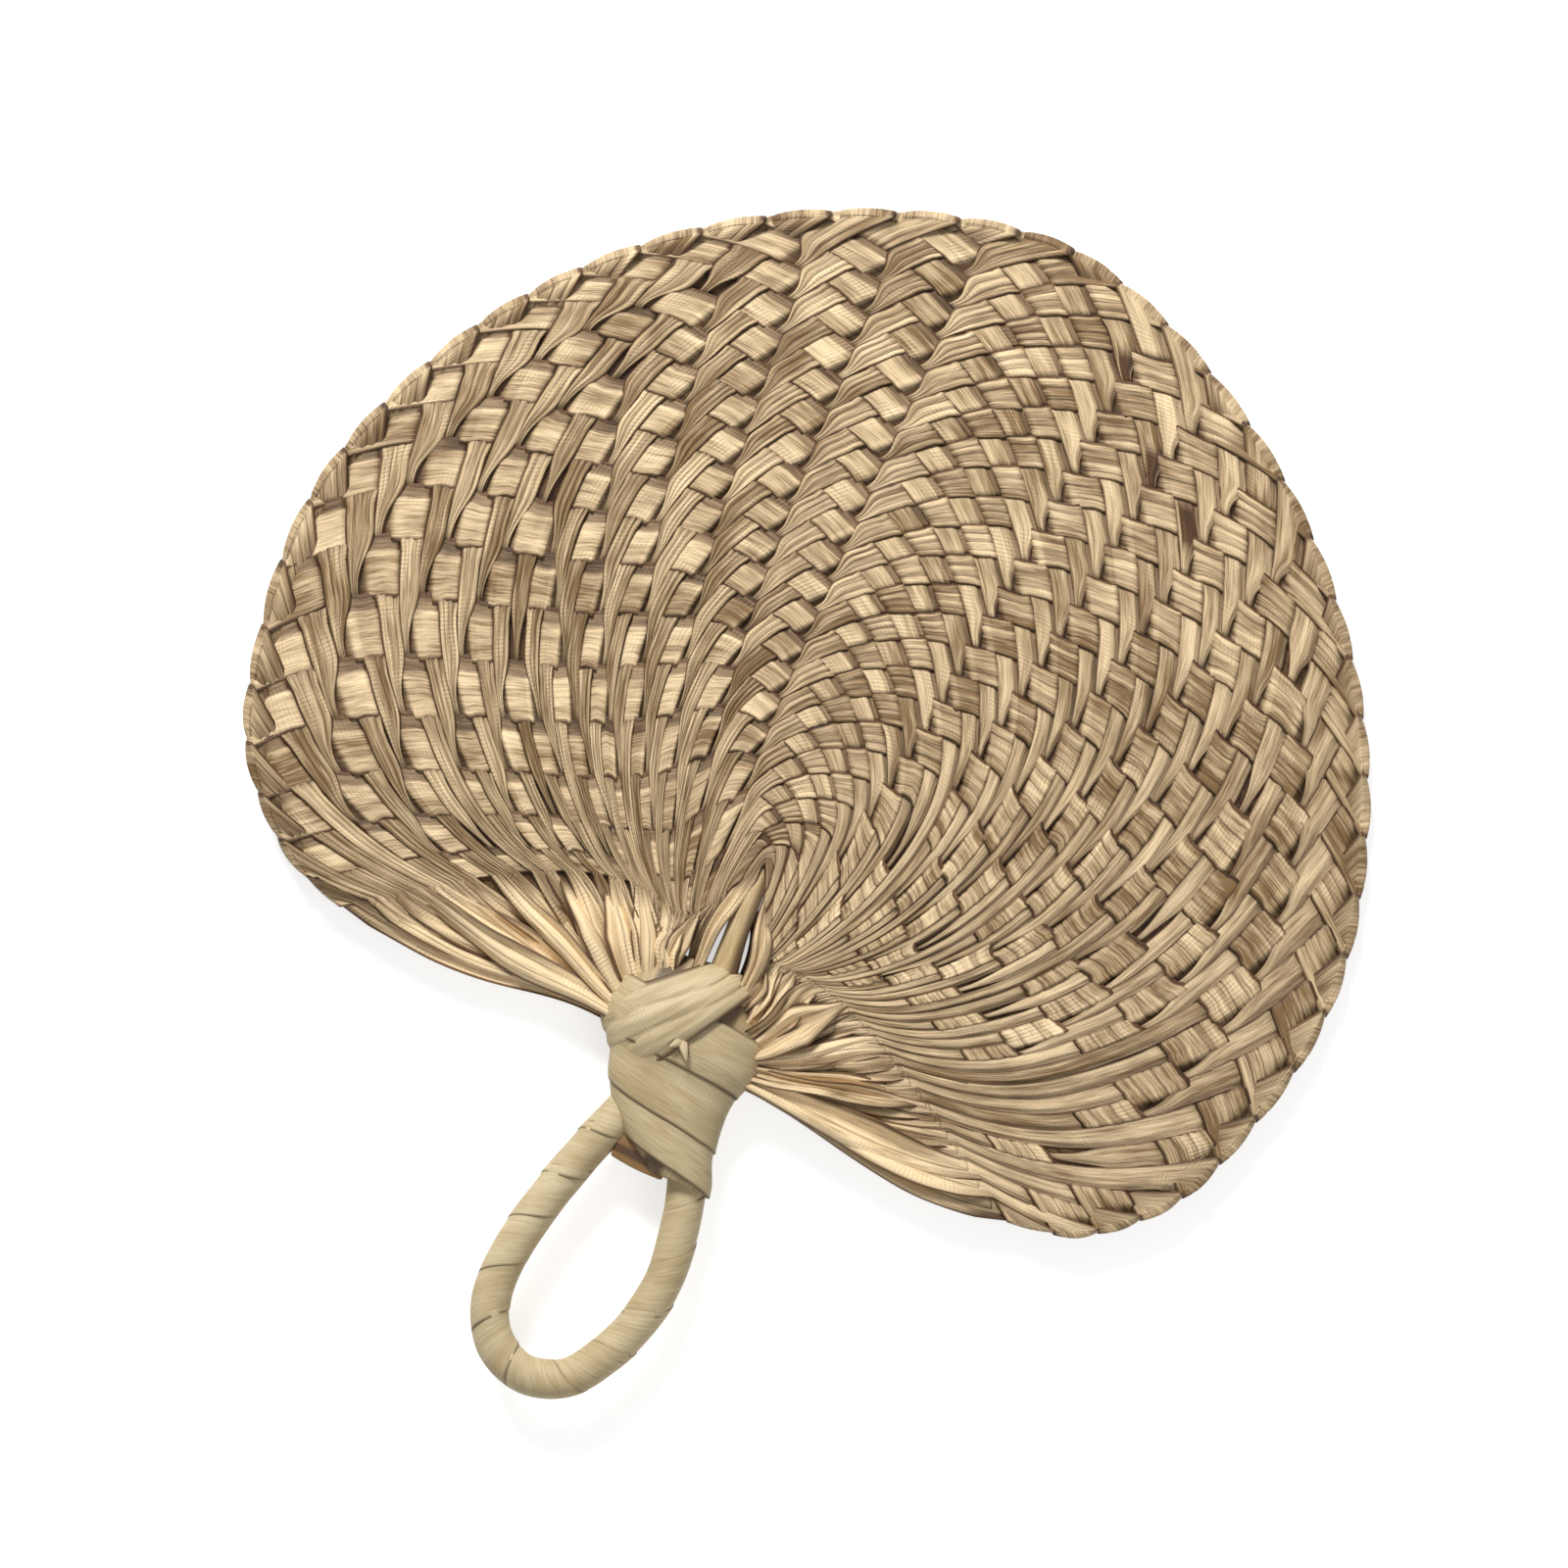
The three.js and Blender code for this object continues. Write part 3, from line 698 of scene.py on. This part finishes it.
def strand_depth(side, rank):
    """How many layers of strands lie over this one, from 0 to 4."""
    layer = (rank + FIRST_LAYER) % GATHER_LAYERS
    return layer if side > 0 else GATHER_LAYERS - 1 - layer


def strand_points(start, out, side, rank):
    """The four points of a strand's curve: it starts the way the arm runs out, and ends in the neck."""
    inwards = rank / (STRIPS - 1)
    end = mix(GATHER_FROM, GATHER_TO, inwards)
    heading = mix(*GATHER_HEADINGS, inwards)
    arrive = np.array([cos(heading), sin(heading)])
    if side > 0:
        end = np.array([2 * NECK_X - end[0], end[1]])
        arrive = arrive * (-1, 1)
    else:
        end[0] += GAP_MOVES[0] if rank < BESIDE_STICK else GAP_MOVES[1] * np.interp(rank, GAP_RUNS, (1, 0))
    leave = mix(unit(out), unit(end - start), TOWARDS_NECK)
    if side > 0 or rank >= BESIDE_STICK:
        leave[0] += side * INNER_SPREAD * np.interp(rank, INNER_RUNS, (1, 0))
    leave[1] -= OUTER_DROPS[side] * np.interp(rank, OUTER_RUNS, (0, 1))
    handle = np.linalg.norm(end - start) * GATHER_HANDLE
    return start, start + leave * handle, end - arrive * handle, end


def strand_half(first, side, rank, u):
    """Half width along a strand that leaves the plait with a given half width."""
    depth = strand_depth(side, rank)
    wide = STRAND_WIDE
    if depth < 2:
        wide = OUTER_WIDE if rank > OUTER_RANK else TOP_WIDE
    if depth == 0 and rank in BROAD_RANKS:
        wide = BROAD_WIDE
    belly = max(STRAND_BELLY * first, STRAND_END)
    half = np.interp(u, STRAND_SPREAD, (first, belly, max(first, wide), STRAND_END))
    slim = SLIM if side < 0 and rank < BESIDE_STICK else np.interp(rank, SLIM_RUNS, (SLIM_LESS, 1))
    return half * mix(1, slim, smooth(u / SLIM_BY))


print("strand layers:", GATHER_LAYERS)

# %% [markdown]
# ## Rows of a strand
# On its way a strand rolls, ripples and pleats a little, and its layer decides which strands it lies over. A
# cloth simulation would not bring each strand to its own place in the neck.

# %% Rows of a gathered strand
STRAND_ROWS = 26
LAYER_STEP = 2.2
SIDEWAYS_BY, LAYER_BY = 0.35, 0.6
HALF_VARIES, LIFT_VARIES = 0.12, 0.5
ROLLS, SHIFTS = (0.35, 0.2), (0.6, 0.3)
PLEAT, PLEAT_WAVES, PLEAT_BY, FADE_BY = 0.3, (0.9, 1.7), 0.4, 1 / 3


def gathered_strand(edge, before, side, rank):
    """Rows from the edge of the plait to the neck."""
    middle = edge[COLUMNS // 2]
    start = middle[:2]
    u = np.linspace(0, 1, STRAND_ROWS + 1)[1:]
    path = bezier(strand_points(start, start - before[COLUMNS // 2, :2], side, rank), u)
    heads = unit(np.gradient(np.vstack([start, path]), axis=0)[1:])
    edge_way = edge[-1, :2] - edge[0, :2]
    sideways = np.stack([-heads[:, 1], heads[:, 0]], axis=1)
    sideways *= np.sign((sideways[0] * edge_way).sum())
    sideways = mix(unit(edge_way), sideways, smooth(u / SIDEWAYS_BY)[:, None])
    once, twice, thrice = (np.sin(k * pi * u) for k in (1, 2, 3))
    half = strand_half(np.linalg.norm(edge_way) / 2, side, rank, u)
    half = (half * (1 + hand.normal(0, HALF_VARIES) * once))[:, None]
    layer = ((GATHER_LAYERS - 1) / 2 - strand_depth(side, rank)) * LAYER_STEP
    height = mix(middle[2], layer, smooth(u / LAYER_BY)) + hand.normal(0, LIFT_VARIES) * once
    roll = (hand.normal(0, ROLLS[0]) * once + hand.normal(0, ROLLS[1]) * twice)[:, None]
    waves = hand.uniform(*PLEAT_WAVES)
    pleat = PLEAT * smooth(u / PLEAT_BY)[:, None] * half * np.cos(waves * pi * ACROSS + hand.uniform(0, 6))
    shift = (hand.normal(0, SHIFTS[0]) * once + hand.normal(0, SHIFTS[1]) * thrice)[:, None]
    flat = path[:, None] + sideways[:, None] * (half * ACROSS * np.cos(roll) + shift)[..., None]
    fade = (1 - smooth(u / FADE_BY))[:, None] * (edge[:, 2] - middle[2])
    return raised(flat, height[:, None] + pleat + half * ACROSS * np.sin(roll) + fade)


print("rows in a strand:", STRAND_ROWS)

# %% [markdown]
# ## All the strips of the blade
# A whole strip is the left strand, the rising arm, the fold, the falling arm and the right strand in one
# unbroken ribbon, as on the real fan. The fold turns the leaf over, so the columns of the falling arm run
# the other way. Strands that lie deep get painted shade from the strands over them, less at the outer
# ranks, and the outer ones are paler than the plait.

# %% Leaf strips
HEADING_ROW = 8
# Painted shade for strands by how deep they lie under other strands, weaker for the outer ranks.
STRAND_SHADES, OUTER_SHADE = (0, 0.03, 0.18, 0.42, 0.62), 0.4
STRAND_PALER, INNER_PALER = {-1: (0.8, 1.0), 1: (0.4, 0.5)}, 0.15
SHADED_BY, PALER_BY = 0.2, 0.22
STRAND_RIBS = (2, 4)
ARM_TONES, STRIP_TONES = (-0.08, 0.08), (0.22, 0.76)


def strand_shade(side, rank):
    return STRAND_SHADES[strand_depth(side, rank)] * (OUTER_SHADE if rank > OUTER_RANK else 1)


def strand_paler(side, rank):
    paler = STRAND_PALER[side][rank > OUTER_RANK or rank in BROAD_RANKS]
    return paler * np.interp(rank, SLIM_RUNS, (INNER_PALER, 1))


def leaf_strip(strip):
    rising, rising_shade_and_stain, rising_tone = woven_arm(strip, -1)
    falling, falling_shade_and_stain, falling_tone = woven_arm(strip, 1)
    left_strand, right_strand = (-1, STRIPS - 1 - strip), (1, strip)
    left = gathered_strand(rising[0], rising[HEADING_ROW], *left_strand)
    right = gathered_strand(falling[0], falling[HEADING_ROW], *right_strand)
    falling, right = falling[:, ::-1], right[:, ::-1]
    fold = rim_fold(rising[-1], falling[-1], SCALLOP if 0 < strip < STRIPS - 1 else END_SCALLOP)
    rows = np.concatenate([left[::-1], rising, fold, falling[::-1], right])
    down = np.linspace(0, 1, STRAND_ROWS)
    shaded, paler = smooth(down / SHADED_BY)[:, None], smooth(down / PALER_BY)
    # The arm's painted shade fades into the strand's painted shade.
    left_shade_and_stain = mix(rising_shade_and_stain[0], strand_shade(*left_strand), shaded)
    right_shade_and_stain = mix(falling_shade_and_stain[0], strand_shade(*right_strand), shaded)
    painted_shade_and_stain = np.concatenate([left_shade_and_stain[::-1], rising_shade_and_stain, np.tile(FOLD_SHADE, (len(fold), 1)),
                           falling_shade_and_stain[::-1, ::-1], right_shade_and_stain[:, ::-1]])
    ribs = np.zeros(len(rows))
    ribs[:len(left)] = hand.integers(*STRAND_RIBS)
    ribs[len(left):len(left) + len(rising)] = hand.integers(*ARM_RIBS)
    ribs[len(rows) - len(right):] = hand.integers(*STRAND_RIBS)
    rising_tone, falling_tone = rising_tone + ARM_TONES[0], falling_tone + ARM_TONES[1]
    left_tone = rising_tone[0] + strand_paler(*left_strand) * paler[::-1]
    right_tone = falling_tone[0] + strand_paler(*right_strand) * paler
    tone = np.concatenate([left_tone, rising_tone, np.zeros(len(fold)), falling_tone[::-1], right_tone])
    name = f"leaf_strip_{strip + 1:02d}"
    tone = tone + hand.uniform(*STRIP_TONES)
    piece = leaf_ribbon("woven_" + name, rows, woven_leaf, tone, painted_shade_and_stain, ribs[:, None])
    keep_piece(piece, "leaf_strip", name)
    return piece


strips = [leaf_strip(k) for k in range(STRIPS)]
print("leaf strips:", len(strips), "with", sum(len(s.data.polygons) for s in strips), "faces")

# %% [markdown]
# ## The petiole stick
# A flat stalk stiffens the blade between the centre of the plait and the neck. It starts as a cylinder. In
# edit mode it is cut across in even steps, and each cut is then moved and scaled a little, so that the
# stalk tapers and bends like a grown one.

# %% Petiole stick
STICK_TOP, STICK_FOOT = np.array([0.2, 0]), np.array([4.6, -38])
STICK_RADII = (3.0, 3.9)
STICK_FLATNESS = 0.72
STICK_LIFT = 1.2
STICK_PARTS = 24
STICK_TIP, STICK_BLUNT, STICK_BOW = 0.06, 0.3, 0.7
STICK_SWELL, STICK_WAVES, STICK_RIDGE, STICK_RIDGES = 0.05, 9, 0.05, 7
STICK_DIVE, STICK_DIVE_BY = 3.5, 0.4


def edit_only(piece):
    """Selects one piece alone and opens it in edit mode."""
    bpy.ops.object.select_all(action="DESELECT")
    piece.select_set(True)
    bpy.context.view_layer.objects.active = piece
    bpy.ops.object.mode_set(mode="EDIT")
    bpy.ops.mesh.select_all(action="SELECT")


def cut_across(places, axis):
    """Cuts the open piece straight across at places along an axis, and closes it."""
    for place in places:
        bpy.ops.mesh.select_all(action="SELECT")
        bpy.ops.mesh.bisect(plane_co=axis * place, plane_no=axis)
    bpy.ops.object.mode_set(mode="OBJECT")


def settle(piece, matrix):
    """Leaves edit mode and puts the piece's place into its mesh."""
    bpy.ops.object.mode_set(mode="OBJECT")
    piece.data.transform(matrix @ piece.matrix_world)
    piece.matrix_world = Matrix.Identity(4)
    piece.data.shade_smooth()


stick_run = STICK_FOOT - STICK_TOP
length = float(np.linalg.norm(stick_run))
bpy.ops.mesh.primitive_cylinder_add(vertices=40, radius=1, depth=length)
stick = just_added("petiole_stalk")
edit_only(stick)
cut_across(np.linspace(-0.5, 0.5, STICK_PARTS + 1)[1:-1] * length, Vector((0, 0, 1)))
for vertex in stick.data.vertices:
    down = 0.5 - vertex.co.z / length
    round_end = sqrt(max(0.0, 1 - max(0.0, 1 - down / STICK_TIP)**2))
    wide = mix(*STICK_RADII, down) * (1 + STICK_SWELL * sin(STICK_WAVES * down)) * max(round_end, STICK_BLUNT)
    ridge = 1 + STICK_RIDGE * cos(STICK_RIDGES * atan2(vertex.co.y, vertex.co.x))
    vertex.co.x = vertex.co.x * wide * ridge + STICK_BOW * sin(pi * down)
    vertex.co.y = vertex.co.y * wide * STICK_FLATNESS - STICK_DIVE * max(0.0, 1 - down / STICK_DIVE_BY)**2
centre = (STICK_TOP + STICK_FOOT) / 2
aim = Matrix.Rotation(atan2(-stick_run[0], stick_run[1]), 4, "Z") @ Matrix.Rotation(pi / 2, 4, "X")
settle(stick, LIE_IN_MM @ Matrix.Translation((*centre, STICK_LIFT)) @ aim)
print("petiole stick:", len(stick.data.polygons), "faces")

# %% [markdown]
# ## Stalk, cane and bamboo
# The stalk, the cane inside the loop and the slip of bamboo in the crotch are wood-like: long fibres with
# darker pores. These run straight, so the finishes read Object coordinates, turned to lie along the piece.

# %% Stalk and bamboo materials
def stalk_material(name, pale, deep, turn, fibre_scale):
    material, tree, _, leaf = fibre_material(name, pale, deep, 0.3, STALK_RELIEF)
    place = new_node(tree, "TexCoord").outputs["Object"]
    lay = new_node(tree, "Mapping", {"Vector": place, "Rotation": (0, 0, turn)}).outputs["Vector"]
    split = new_node(tree, "SeparateXYZ", {"Vector": lay}).outputs
    sideways = math_node(tree, "SINE", math_node(tree, "MULTIPLY", split["X"], fibre_scale))
    feed(tree, leaf, {"Tone": 0.5, "Seed": 0.5, "Along": split["Y"], "Across": sideways})
    return material


stick_turn = atan2(stick_run[0], -stick_run[1])
dry_stalk = stalk_material("dry_stalk", (0.62, 0.48, 0.27), (0.42, 0.29, 0.13), -stick_turn, 150)
stick.data.materials.append(dry_stalk)
keep_piece(stick, "petiole", "petiole_stick")
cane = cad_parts["handle_cane"]
cane.data.materials.clear()
cane.data.materials.append(stalk_material("bare_cane", (0.5, 0.36, 0.17), (0.28, 0.17, 0.06), 0, 300))
print("stalk and cane finished")

# %% [markdown]
# ## The neck
# The leaf stems are packed into a flattened knob that tapers down onto the right leg of the loop. The form
# could be a sphere, but its left and right sides differ. So a ring is extruded down the neck in steps, and
# each new ring is moved and scaled to the width of the neck there.

# %% Neck core
NECK_LEVELS = np.array([-33, -36, -40, -46, -54, -60, -66, -72, -76, -80, -84, -88, -91])
NECK_LEFT = (-7, -12, -18, -21.8, -22.3, -18.5, -14.4, -12.2, -9.8, -6.4, -2.5, 3.5, 9)
NECK_RIGHT = (6, 12, 18, 22, 25.2, 22.6, 21.6, 22, 22.6, 23.4, 24.8, 26.6, 27.8)
NECK_DEEP = (4, 6.5, 8.8, 10.4, 11, 9.8, 9, 8.7, 8.6, 8.6, 8.4, 8, 7.4)
NECK_BLUR = (-2.4, -1.2, 0, 1.2, 2.4)
NECK_FULLNESS = 0.8
CORE_STEP, CORE_FLOOR = 2.0, 0.8


def soft_reading(place, places, readings, blur):
    """Reads a measure between its known places, with the corners rounded off."""
    return np.mean([np.interp(place + shift, places, readings) for shift in blur], axis=0)


def neck_section(y):
    """The neck's middle, half width and depth at a height along it."""
    left, right, deep = (soft_reading(-np.asarray(y), -NECK_LEVELS, side, NECK_BLUR)
                         for side in (NECK_LEFT, NECK_RIGHT, NECK_DEEP))
    return (left + right) / 2, (right - left) / 2, deep


bpy.ops.mesh.primitive_circle_add(vertices=48, fill_type="NGON", rotation=(pi / 2, 0, 0))
core = just_added("neck_core")
bpy.ops.object.transform_apply(location=False, rotation=True, scale=False)
edit_only(core)
before = np.array([0.0, 0.0, 1.0, 1.0])
for level in np.arange(NECK_LEVELS[0], NECK_LEVELS[-1] - 1, -CORE_STEP):
    middle, half, deep = neck_section(level)
    now = np.array([middle, level, half, deep])
    if before[1]:
        bpy.ops.mesh.extrude_region_move(TRANSFORM_OT_translate={"value": (0, 0, 0)})
    bpy.ops.transform.translate(value=(now[0] - before[0], now[1] - before[1], 0))
    grow = now[2:] / before[2:]
    bpy.ops.transform.resize(value=(grow[0], 1, grow[1]), center_override=(now[0], now[1], 0))
    before = now
bpy.ops.mesh.select_all(action="SELECT")
bpy.ops.mesh.normals_make_consistent(inside=False)
settle(core, LIE_IN_MM)
for vertex in core.data.vertices:
    vertex.co.z = max(vertex.co.z, CORE_FLOOR * MM)
core.data.materials.append(stalk_material("packed_leaf", (0.5, 0.39, 0.22), (0.32, 0.22, 0.1), 0, 160))
keep_piece(core, "neck_leaf", "neck_knob")
print("neck core:", len(core.data.polygons), "faces")

# %% [markdown]
# ## Bindings of the neck
# One wide leaf is wound down the neck onto the right leg of the loop, each turn over the next. It
# is a ribbon again: its lower edge is read at every half turn, and its outer edge stands a little proud.

# %% Neck wrap
WRAP_HALF_TURNS = (-3, -2, -1, 0, 1, 2)
WRAP_LOWER_EDGE = (-60.5, -62, -73.5, -79.4, -84.5, -92)
WRAP_BLUR = (-0.3, -0.15, 0, 0.15, 0.3)
WRAP_TAIL = 0.15
WRAP_HEIGHT = 16.5
WRAP_ROWS, WRAP_COLUMNS = 260, 15
WRAP_LIFT, WRAP_PROUD, WRAP_CREASE = 0.3, 0.5, 0.18


def boxy(value):
    """Turns a round section into one with fuller corners."""
    return np.sign(value) * np.abs(value)**NECK_FULLNESS


def neck_wrap():
    """Rows round the neck: phase 0 is its right, a quarter turn is its front, half a turn its left."""
    turn = np.linspace(WRAP_HALF_TURNS[0], WRAP_HALF_TURNS[-1] + WRAP_TAIL, WRAP_ROWS)
    lower = soft_reading(turn, WRAP_HALF_TURNS, WRAP_LOWER_EDGE, WRAP_BLUR)
    turn = turn[:, None]
    f = np.linspace(0, 1, WRAP_COLUMNS)
    y = lower[:, None] + WRAP_HEIGHT * (1 - f)
    lift = WRAP_LIFT + WRAP_PROUD * f**1.5 + WRAP_CREASE * np.sin(9 * f + 2.2 * turn) * np.sin(2.3 * turn)
    phase = -pi * turn
    middle, half, deep = neck_section(y)
    x = middle + (half + lift) * boxy(np.cos(phase))
    return np.stack([x, y, (deep + lift) * boxy(np.sin(phase))], axis=-1)


wrap = leaf_ribbon("neck_binding", neck_wrap(), neck_leaf, 0.5, thickness=0.45, reach=0.93)
keep_piece(wrap, "neck_leaf", "neck_wrap")
print("neck wrap:", len(wrap.data.polygons), "faces")

# %% [markdown]
# ## The slanting band
# Over the upper left of the knob lies a broad band with deep creases. It runs round the knob at about fifty
# degrees. Its rows go round the knob, and its creases are ridges that draw together towards the upper right.

# %% Knob band
KNOB_CENTRE = np.array([1.6, -50.5])
KNOB_RADII = (24.2, 18.2, 11.4)
BAND_SLANT = radians(52)
BAND_ROWS, BAND_COLUMNS = 150, 41
BAND_EDGE, BAND_WIDTH = (0.6, -6.5), (13.5, 25.5)
BAND_LIFT, BAND_FOLD, BAND_CREASE, BAND_SINKS = 1.0, 0.9, 0.18, 0.5
BAND_FOLDS, BAND_SWAY = 3.2, 0.25


def knob_point(n, psi, lift):
    """A point of the knob on a slanting ring: n is how far the ring is from the knob's middle."""
    way = np.array([cos(BAND_SLANT), sin(BAND_SLANT)])
    over = np.array([-way[1], way[0]])
    rx, ry, rz = (radius + lift for radius in KNOB_RADII)
    a = (way[0] / rx)**2 + (way[1] / ry)**2
    b = n * (way[0] * over[0] / rx**2 + way[1] * over[1] / ry**2)
    e = np.maximum(1 - n**2 * ((over[0] / rx)**2 + (over[1] / ry)**2) + b**2 / a, 1e-4)
    d = -b / a + np.sqrt(e / a) * np.cos(psi)
    flat = KNOB_CENTRE + n[..., None] * over + d[..., None] * way
    return raised(flat, rz * np.sqrt(e) * np.sin(psi))


def knob_band():
    psi = np.linspace(0, 2 * pi, BAND_ROWS)[:, None]
    f = np.linspace(0, 1, BAND_COLUMNS)[None]
    apart = (1 - np.cos(psi)) / 2
    n = mix(*BAND_EDGE, apart) + f * mix(*BAND_WIDTH, apart)
    folds = np.abs(np.sin(pi * (BAND_FOLDS * f + BAND_SWAY * np.sin(2.2 * psi))))**0.6
    folds = folds * np.sin(pi * np.clip(f * 1.05, 0, 1))**0.5
    small = np.sin(31 * f + 3 * np.sin(psi)) * np.sin(14 * f)
    return knob_point(n, psi, BAND_LIFT + BAND_FOLD * folds + BAND_CREASE * small - BAND_SINKS * f**3)


band = leaf_ribbon("slanting_band", knob_band(), neck_leaf, 0.55, thickness=0.4)
keep_piece(band, "neck_leaf", "knob_band")
print("slanting band:", len(band.data.polygons), "faces")

# %% [markdown]
# ## A loose leaf end
# The end of the band was tucked in and has sprung out again. It is two short ribbons that narrow to a point
# and curl up off the knob.

# %% Loose end on the knob
LOOSE_END = np.array([1.6, -54.2])
LOOSE_WAYS = ((-0.9, 6.0), (-2.2, 4.0))
LOOSE_ROWS, LOOSE_COLUMNS, LOOSE_HALF, LOOSE_TAPER = 12, 7, 1.5, 0.85
LOOSE_LIFT, LOOSE_CURL, LOOSE_BOW = 0.7, 1.6, 0.5


def loose_end(turn, length):
    t = np.linspace(0, 1, LOOSE_ROWS)[:, None]
    across = np.linspace(-1, 1, LOOSE_COLUMNS)
    way = np.array([cos(turn), sin(turn)])
    half = LOOSE_HALF * (1 - LOOSE_TAPER * t**1.5)
    sideways = np.array([-way[1], way[0]])
    flat = LOOSE_END + way * (length * t)[..., None] + sideways * (half * across)[..., None]
    return raised(flat, KNOB_RADII[2] + LOOSE_LIFT + LOOSE_CURL * np.sin(2.2 * t) - LOOSE_BOW * across**2)


for number, way in enumerate(LOOSE_WAYS, start=1):
    tip = leaf_ribbon(f"loose_end_{number}", loose_end(*way), neck_leaf, 0.7, thickness=0.3)
    keep_piece(tip, "neck_leaf")
print("loose ends:", len(LOOSE_WAYS))

# %% [markdown]
# ## The loop handle
# A cane is bent into a loop and wound with one long strip of leaf from leg to leg. The winding is a ribbon
# whose rows go round the cane, with each turn lapped over the next, so that its edges make the seams.

# %% Handle wrap
CANE_ROUTE = np.array([(-1.5, -68), (-4.5, -80), (-8.6, -94), (-12.5, -111), (-14.9, -129), (-13.7, -144),
                       (-7, -154.4), (4, -158.3), (15, -154), (21.8, -143.5), (26, -131), (27.2, -117),
                       (24.8, -103), (21.5, -92), (16.5, -80), (11.5, -68)])
CANE_RADIUS, CANE_PARTS, CANE_POINTS = 4.8, 40, 1200
HANDLE_TURNS, HANDLE_SPAN = 12, (0.035, 0.945)
HANDLE_STEPS, HANDLE_COLUMNS = 80, 17
HANDLE_LAP, HANDLE_LIFT, HANDLE_PROUD, HANDLE_LUMP = 1.16, 0.55, 0.14, 0.12
HANDLE_TONE, HANDLE_VARIES, TONE_BLUR = 0.55, 0.2, 30


def read_points(spot, places, points):
    """Reads flat points between their known places."""
    return np.stack([np.interp(spot, places, points[:, i]) for i in (0, 1)], axis=-1)


def cane_line(count):
    """Points evenly spaced along a smooth curve through the route."""
    padded = np.vstack([2 * CANE_ROUTE[0] - CANE_ROUTE[1], CANE_ROUTE, 2 * CANE_ROUTE[-1] - CANE_ROUTE[-2]])
    t = np.linspace(0, 1, CANE_PARTS, endpoint=False)[:, None]
    parts = [curve(p1, p2, (p2 - p0) / 2, (p3 - p1) / 2, t)
             for p0, p1, p2, p3 in zip(padded, padded[1:], padded[2:], padded[3:])]
    line = np.vstack(parts + [CANE_ROUTE[-1:]])
    length = np.concatenate([[0], np.cumsum(np.linalg.norm(np.diff(line, axis=0), axis=1))])
    return read_points(np.linspace(0, length[-1], count), length, line)


def handle_wrap():
    line = cane_line(CANE_POINTS)
    pitch = (HANDLE_SPAN[1] - HANDLE_SPAN[0]) / HANDLE_TURNS
    turn = (np.arange(HANDLE_TURNS * HANDLE_STEPS + 1) / HANDLE_STEPS)[:, None]
    f = np.linspace(0, 1, HANDLE_COLUMNS)
    uneven_edge = 0.05 * np.sin(2.1 * turn) + 0.04 * np.sin(5.3 * turn + 1)
    share = HANDLE_SPAN[0] + pitch * (turn + (f - 0.5) * HANDLE_LAP + uneven_edge * f)
    spot = np.clip(share, 0, 1) * (CANE_POINTS - 1)
    at, head = (read_points(spot, np.arange(CANE_POINTS), points)
                for points in (line, unit(np.gradient(line, axis=0))))
    phase = 2 * pi * turn
    lump = HANDLE_LUMP * np.sin(3 * phase + 5 * f) * np.sin(0.9 * turn)
    radius = CANE_RADIUS + HANDLE_LIFT + HANDLE_PROUD * f**1.3 + lump
    side = np.stack([-head[..., 1], head[..., 0]], axis=-1)
    return raised(at + side * (radius * np.cos(phase))[..., None], radius * np.sin(phase))


turn_tones = hand.normal(0, 1, HANDLE_TURNS * 2 + 1)
turn_tones = HANDLE_TONE + HANDLE_VARIES * np.repeat(turn_tones, HANDLE_STEPS // 2)
turn_tones = np.convolve(turn_tones, np.ones(TONE_BLUR) / TONE_BLUR, mode="same")
turn_tones = turn_tones[:HANDLE_TURNS * HANDLE_STEPS + 1]
handle = leaf_ribbon("loop_binding", handle_wrap(), handle_leaf, turn_tones, thickness=0.25, reach=0.9)
keep_piece(handle, "handle_leaf", "handle_wrap")
print("loop binding:", len(handle.data.polygons), "faces")

# %% [markdown]
# ## The bamboo slip
# A slip of brown bamboo is wedged between the legs of the loop. It starts as a cube, is scaled to size,
# bevelled along its edges, and cut across so that its face can be bowed.

# %% Crotch peg
PEG_SIZE = (16, 8, 6.5)
PEG_CENTRE = (6.0, -88.4)
PEG_BEVEL, PEG_BOW, PEG_CUTS, PEG_REACH = 0.7, 0.5, 7, 0.4
bpy.ops.mesh.primitive_cube_add(size=1)
peg = just_added("bamboo_slip")
edit_only(peg)
bpy.ops.transform.resize(value=PEG_SIZE)
bpy.ops.mesh.bevel(offset=PEG_BEVEL, segments=3, affect="EDGES")
cut_across(np.linspace(-PEG_REACH, PEG_REACH, PEG_CUTS) * PEG_SIZE[0], Vector((1, 0, 0)))
for vertex in peg.data.vertices:
    vertex.co.y -= PEG_BOW * cos(pi * vertex.co.x / PEG_SIZE[0])
settle(peg, LIE_IN_MM @ Matrix.Translation((*PEG_CENTRE, 0)))
brown_bamboo = stalk_material("brown_bamboo", (0.34, 0.19, 0.06), (0.15, 0.07, 0.02), pi / 2, 400)
peg.data.materials.append(brown_bamboo)
keep_piece(peg, "bamboo", "crotch_peg")
print("bamboo slip:", len(peg.data.polygons), "faces")
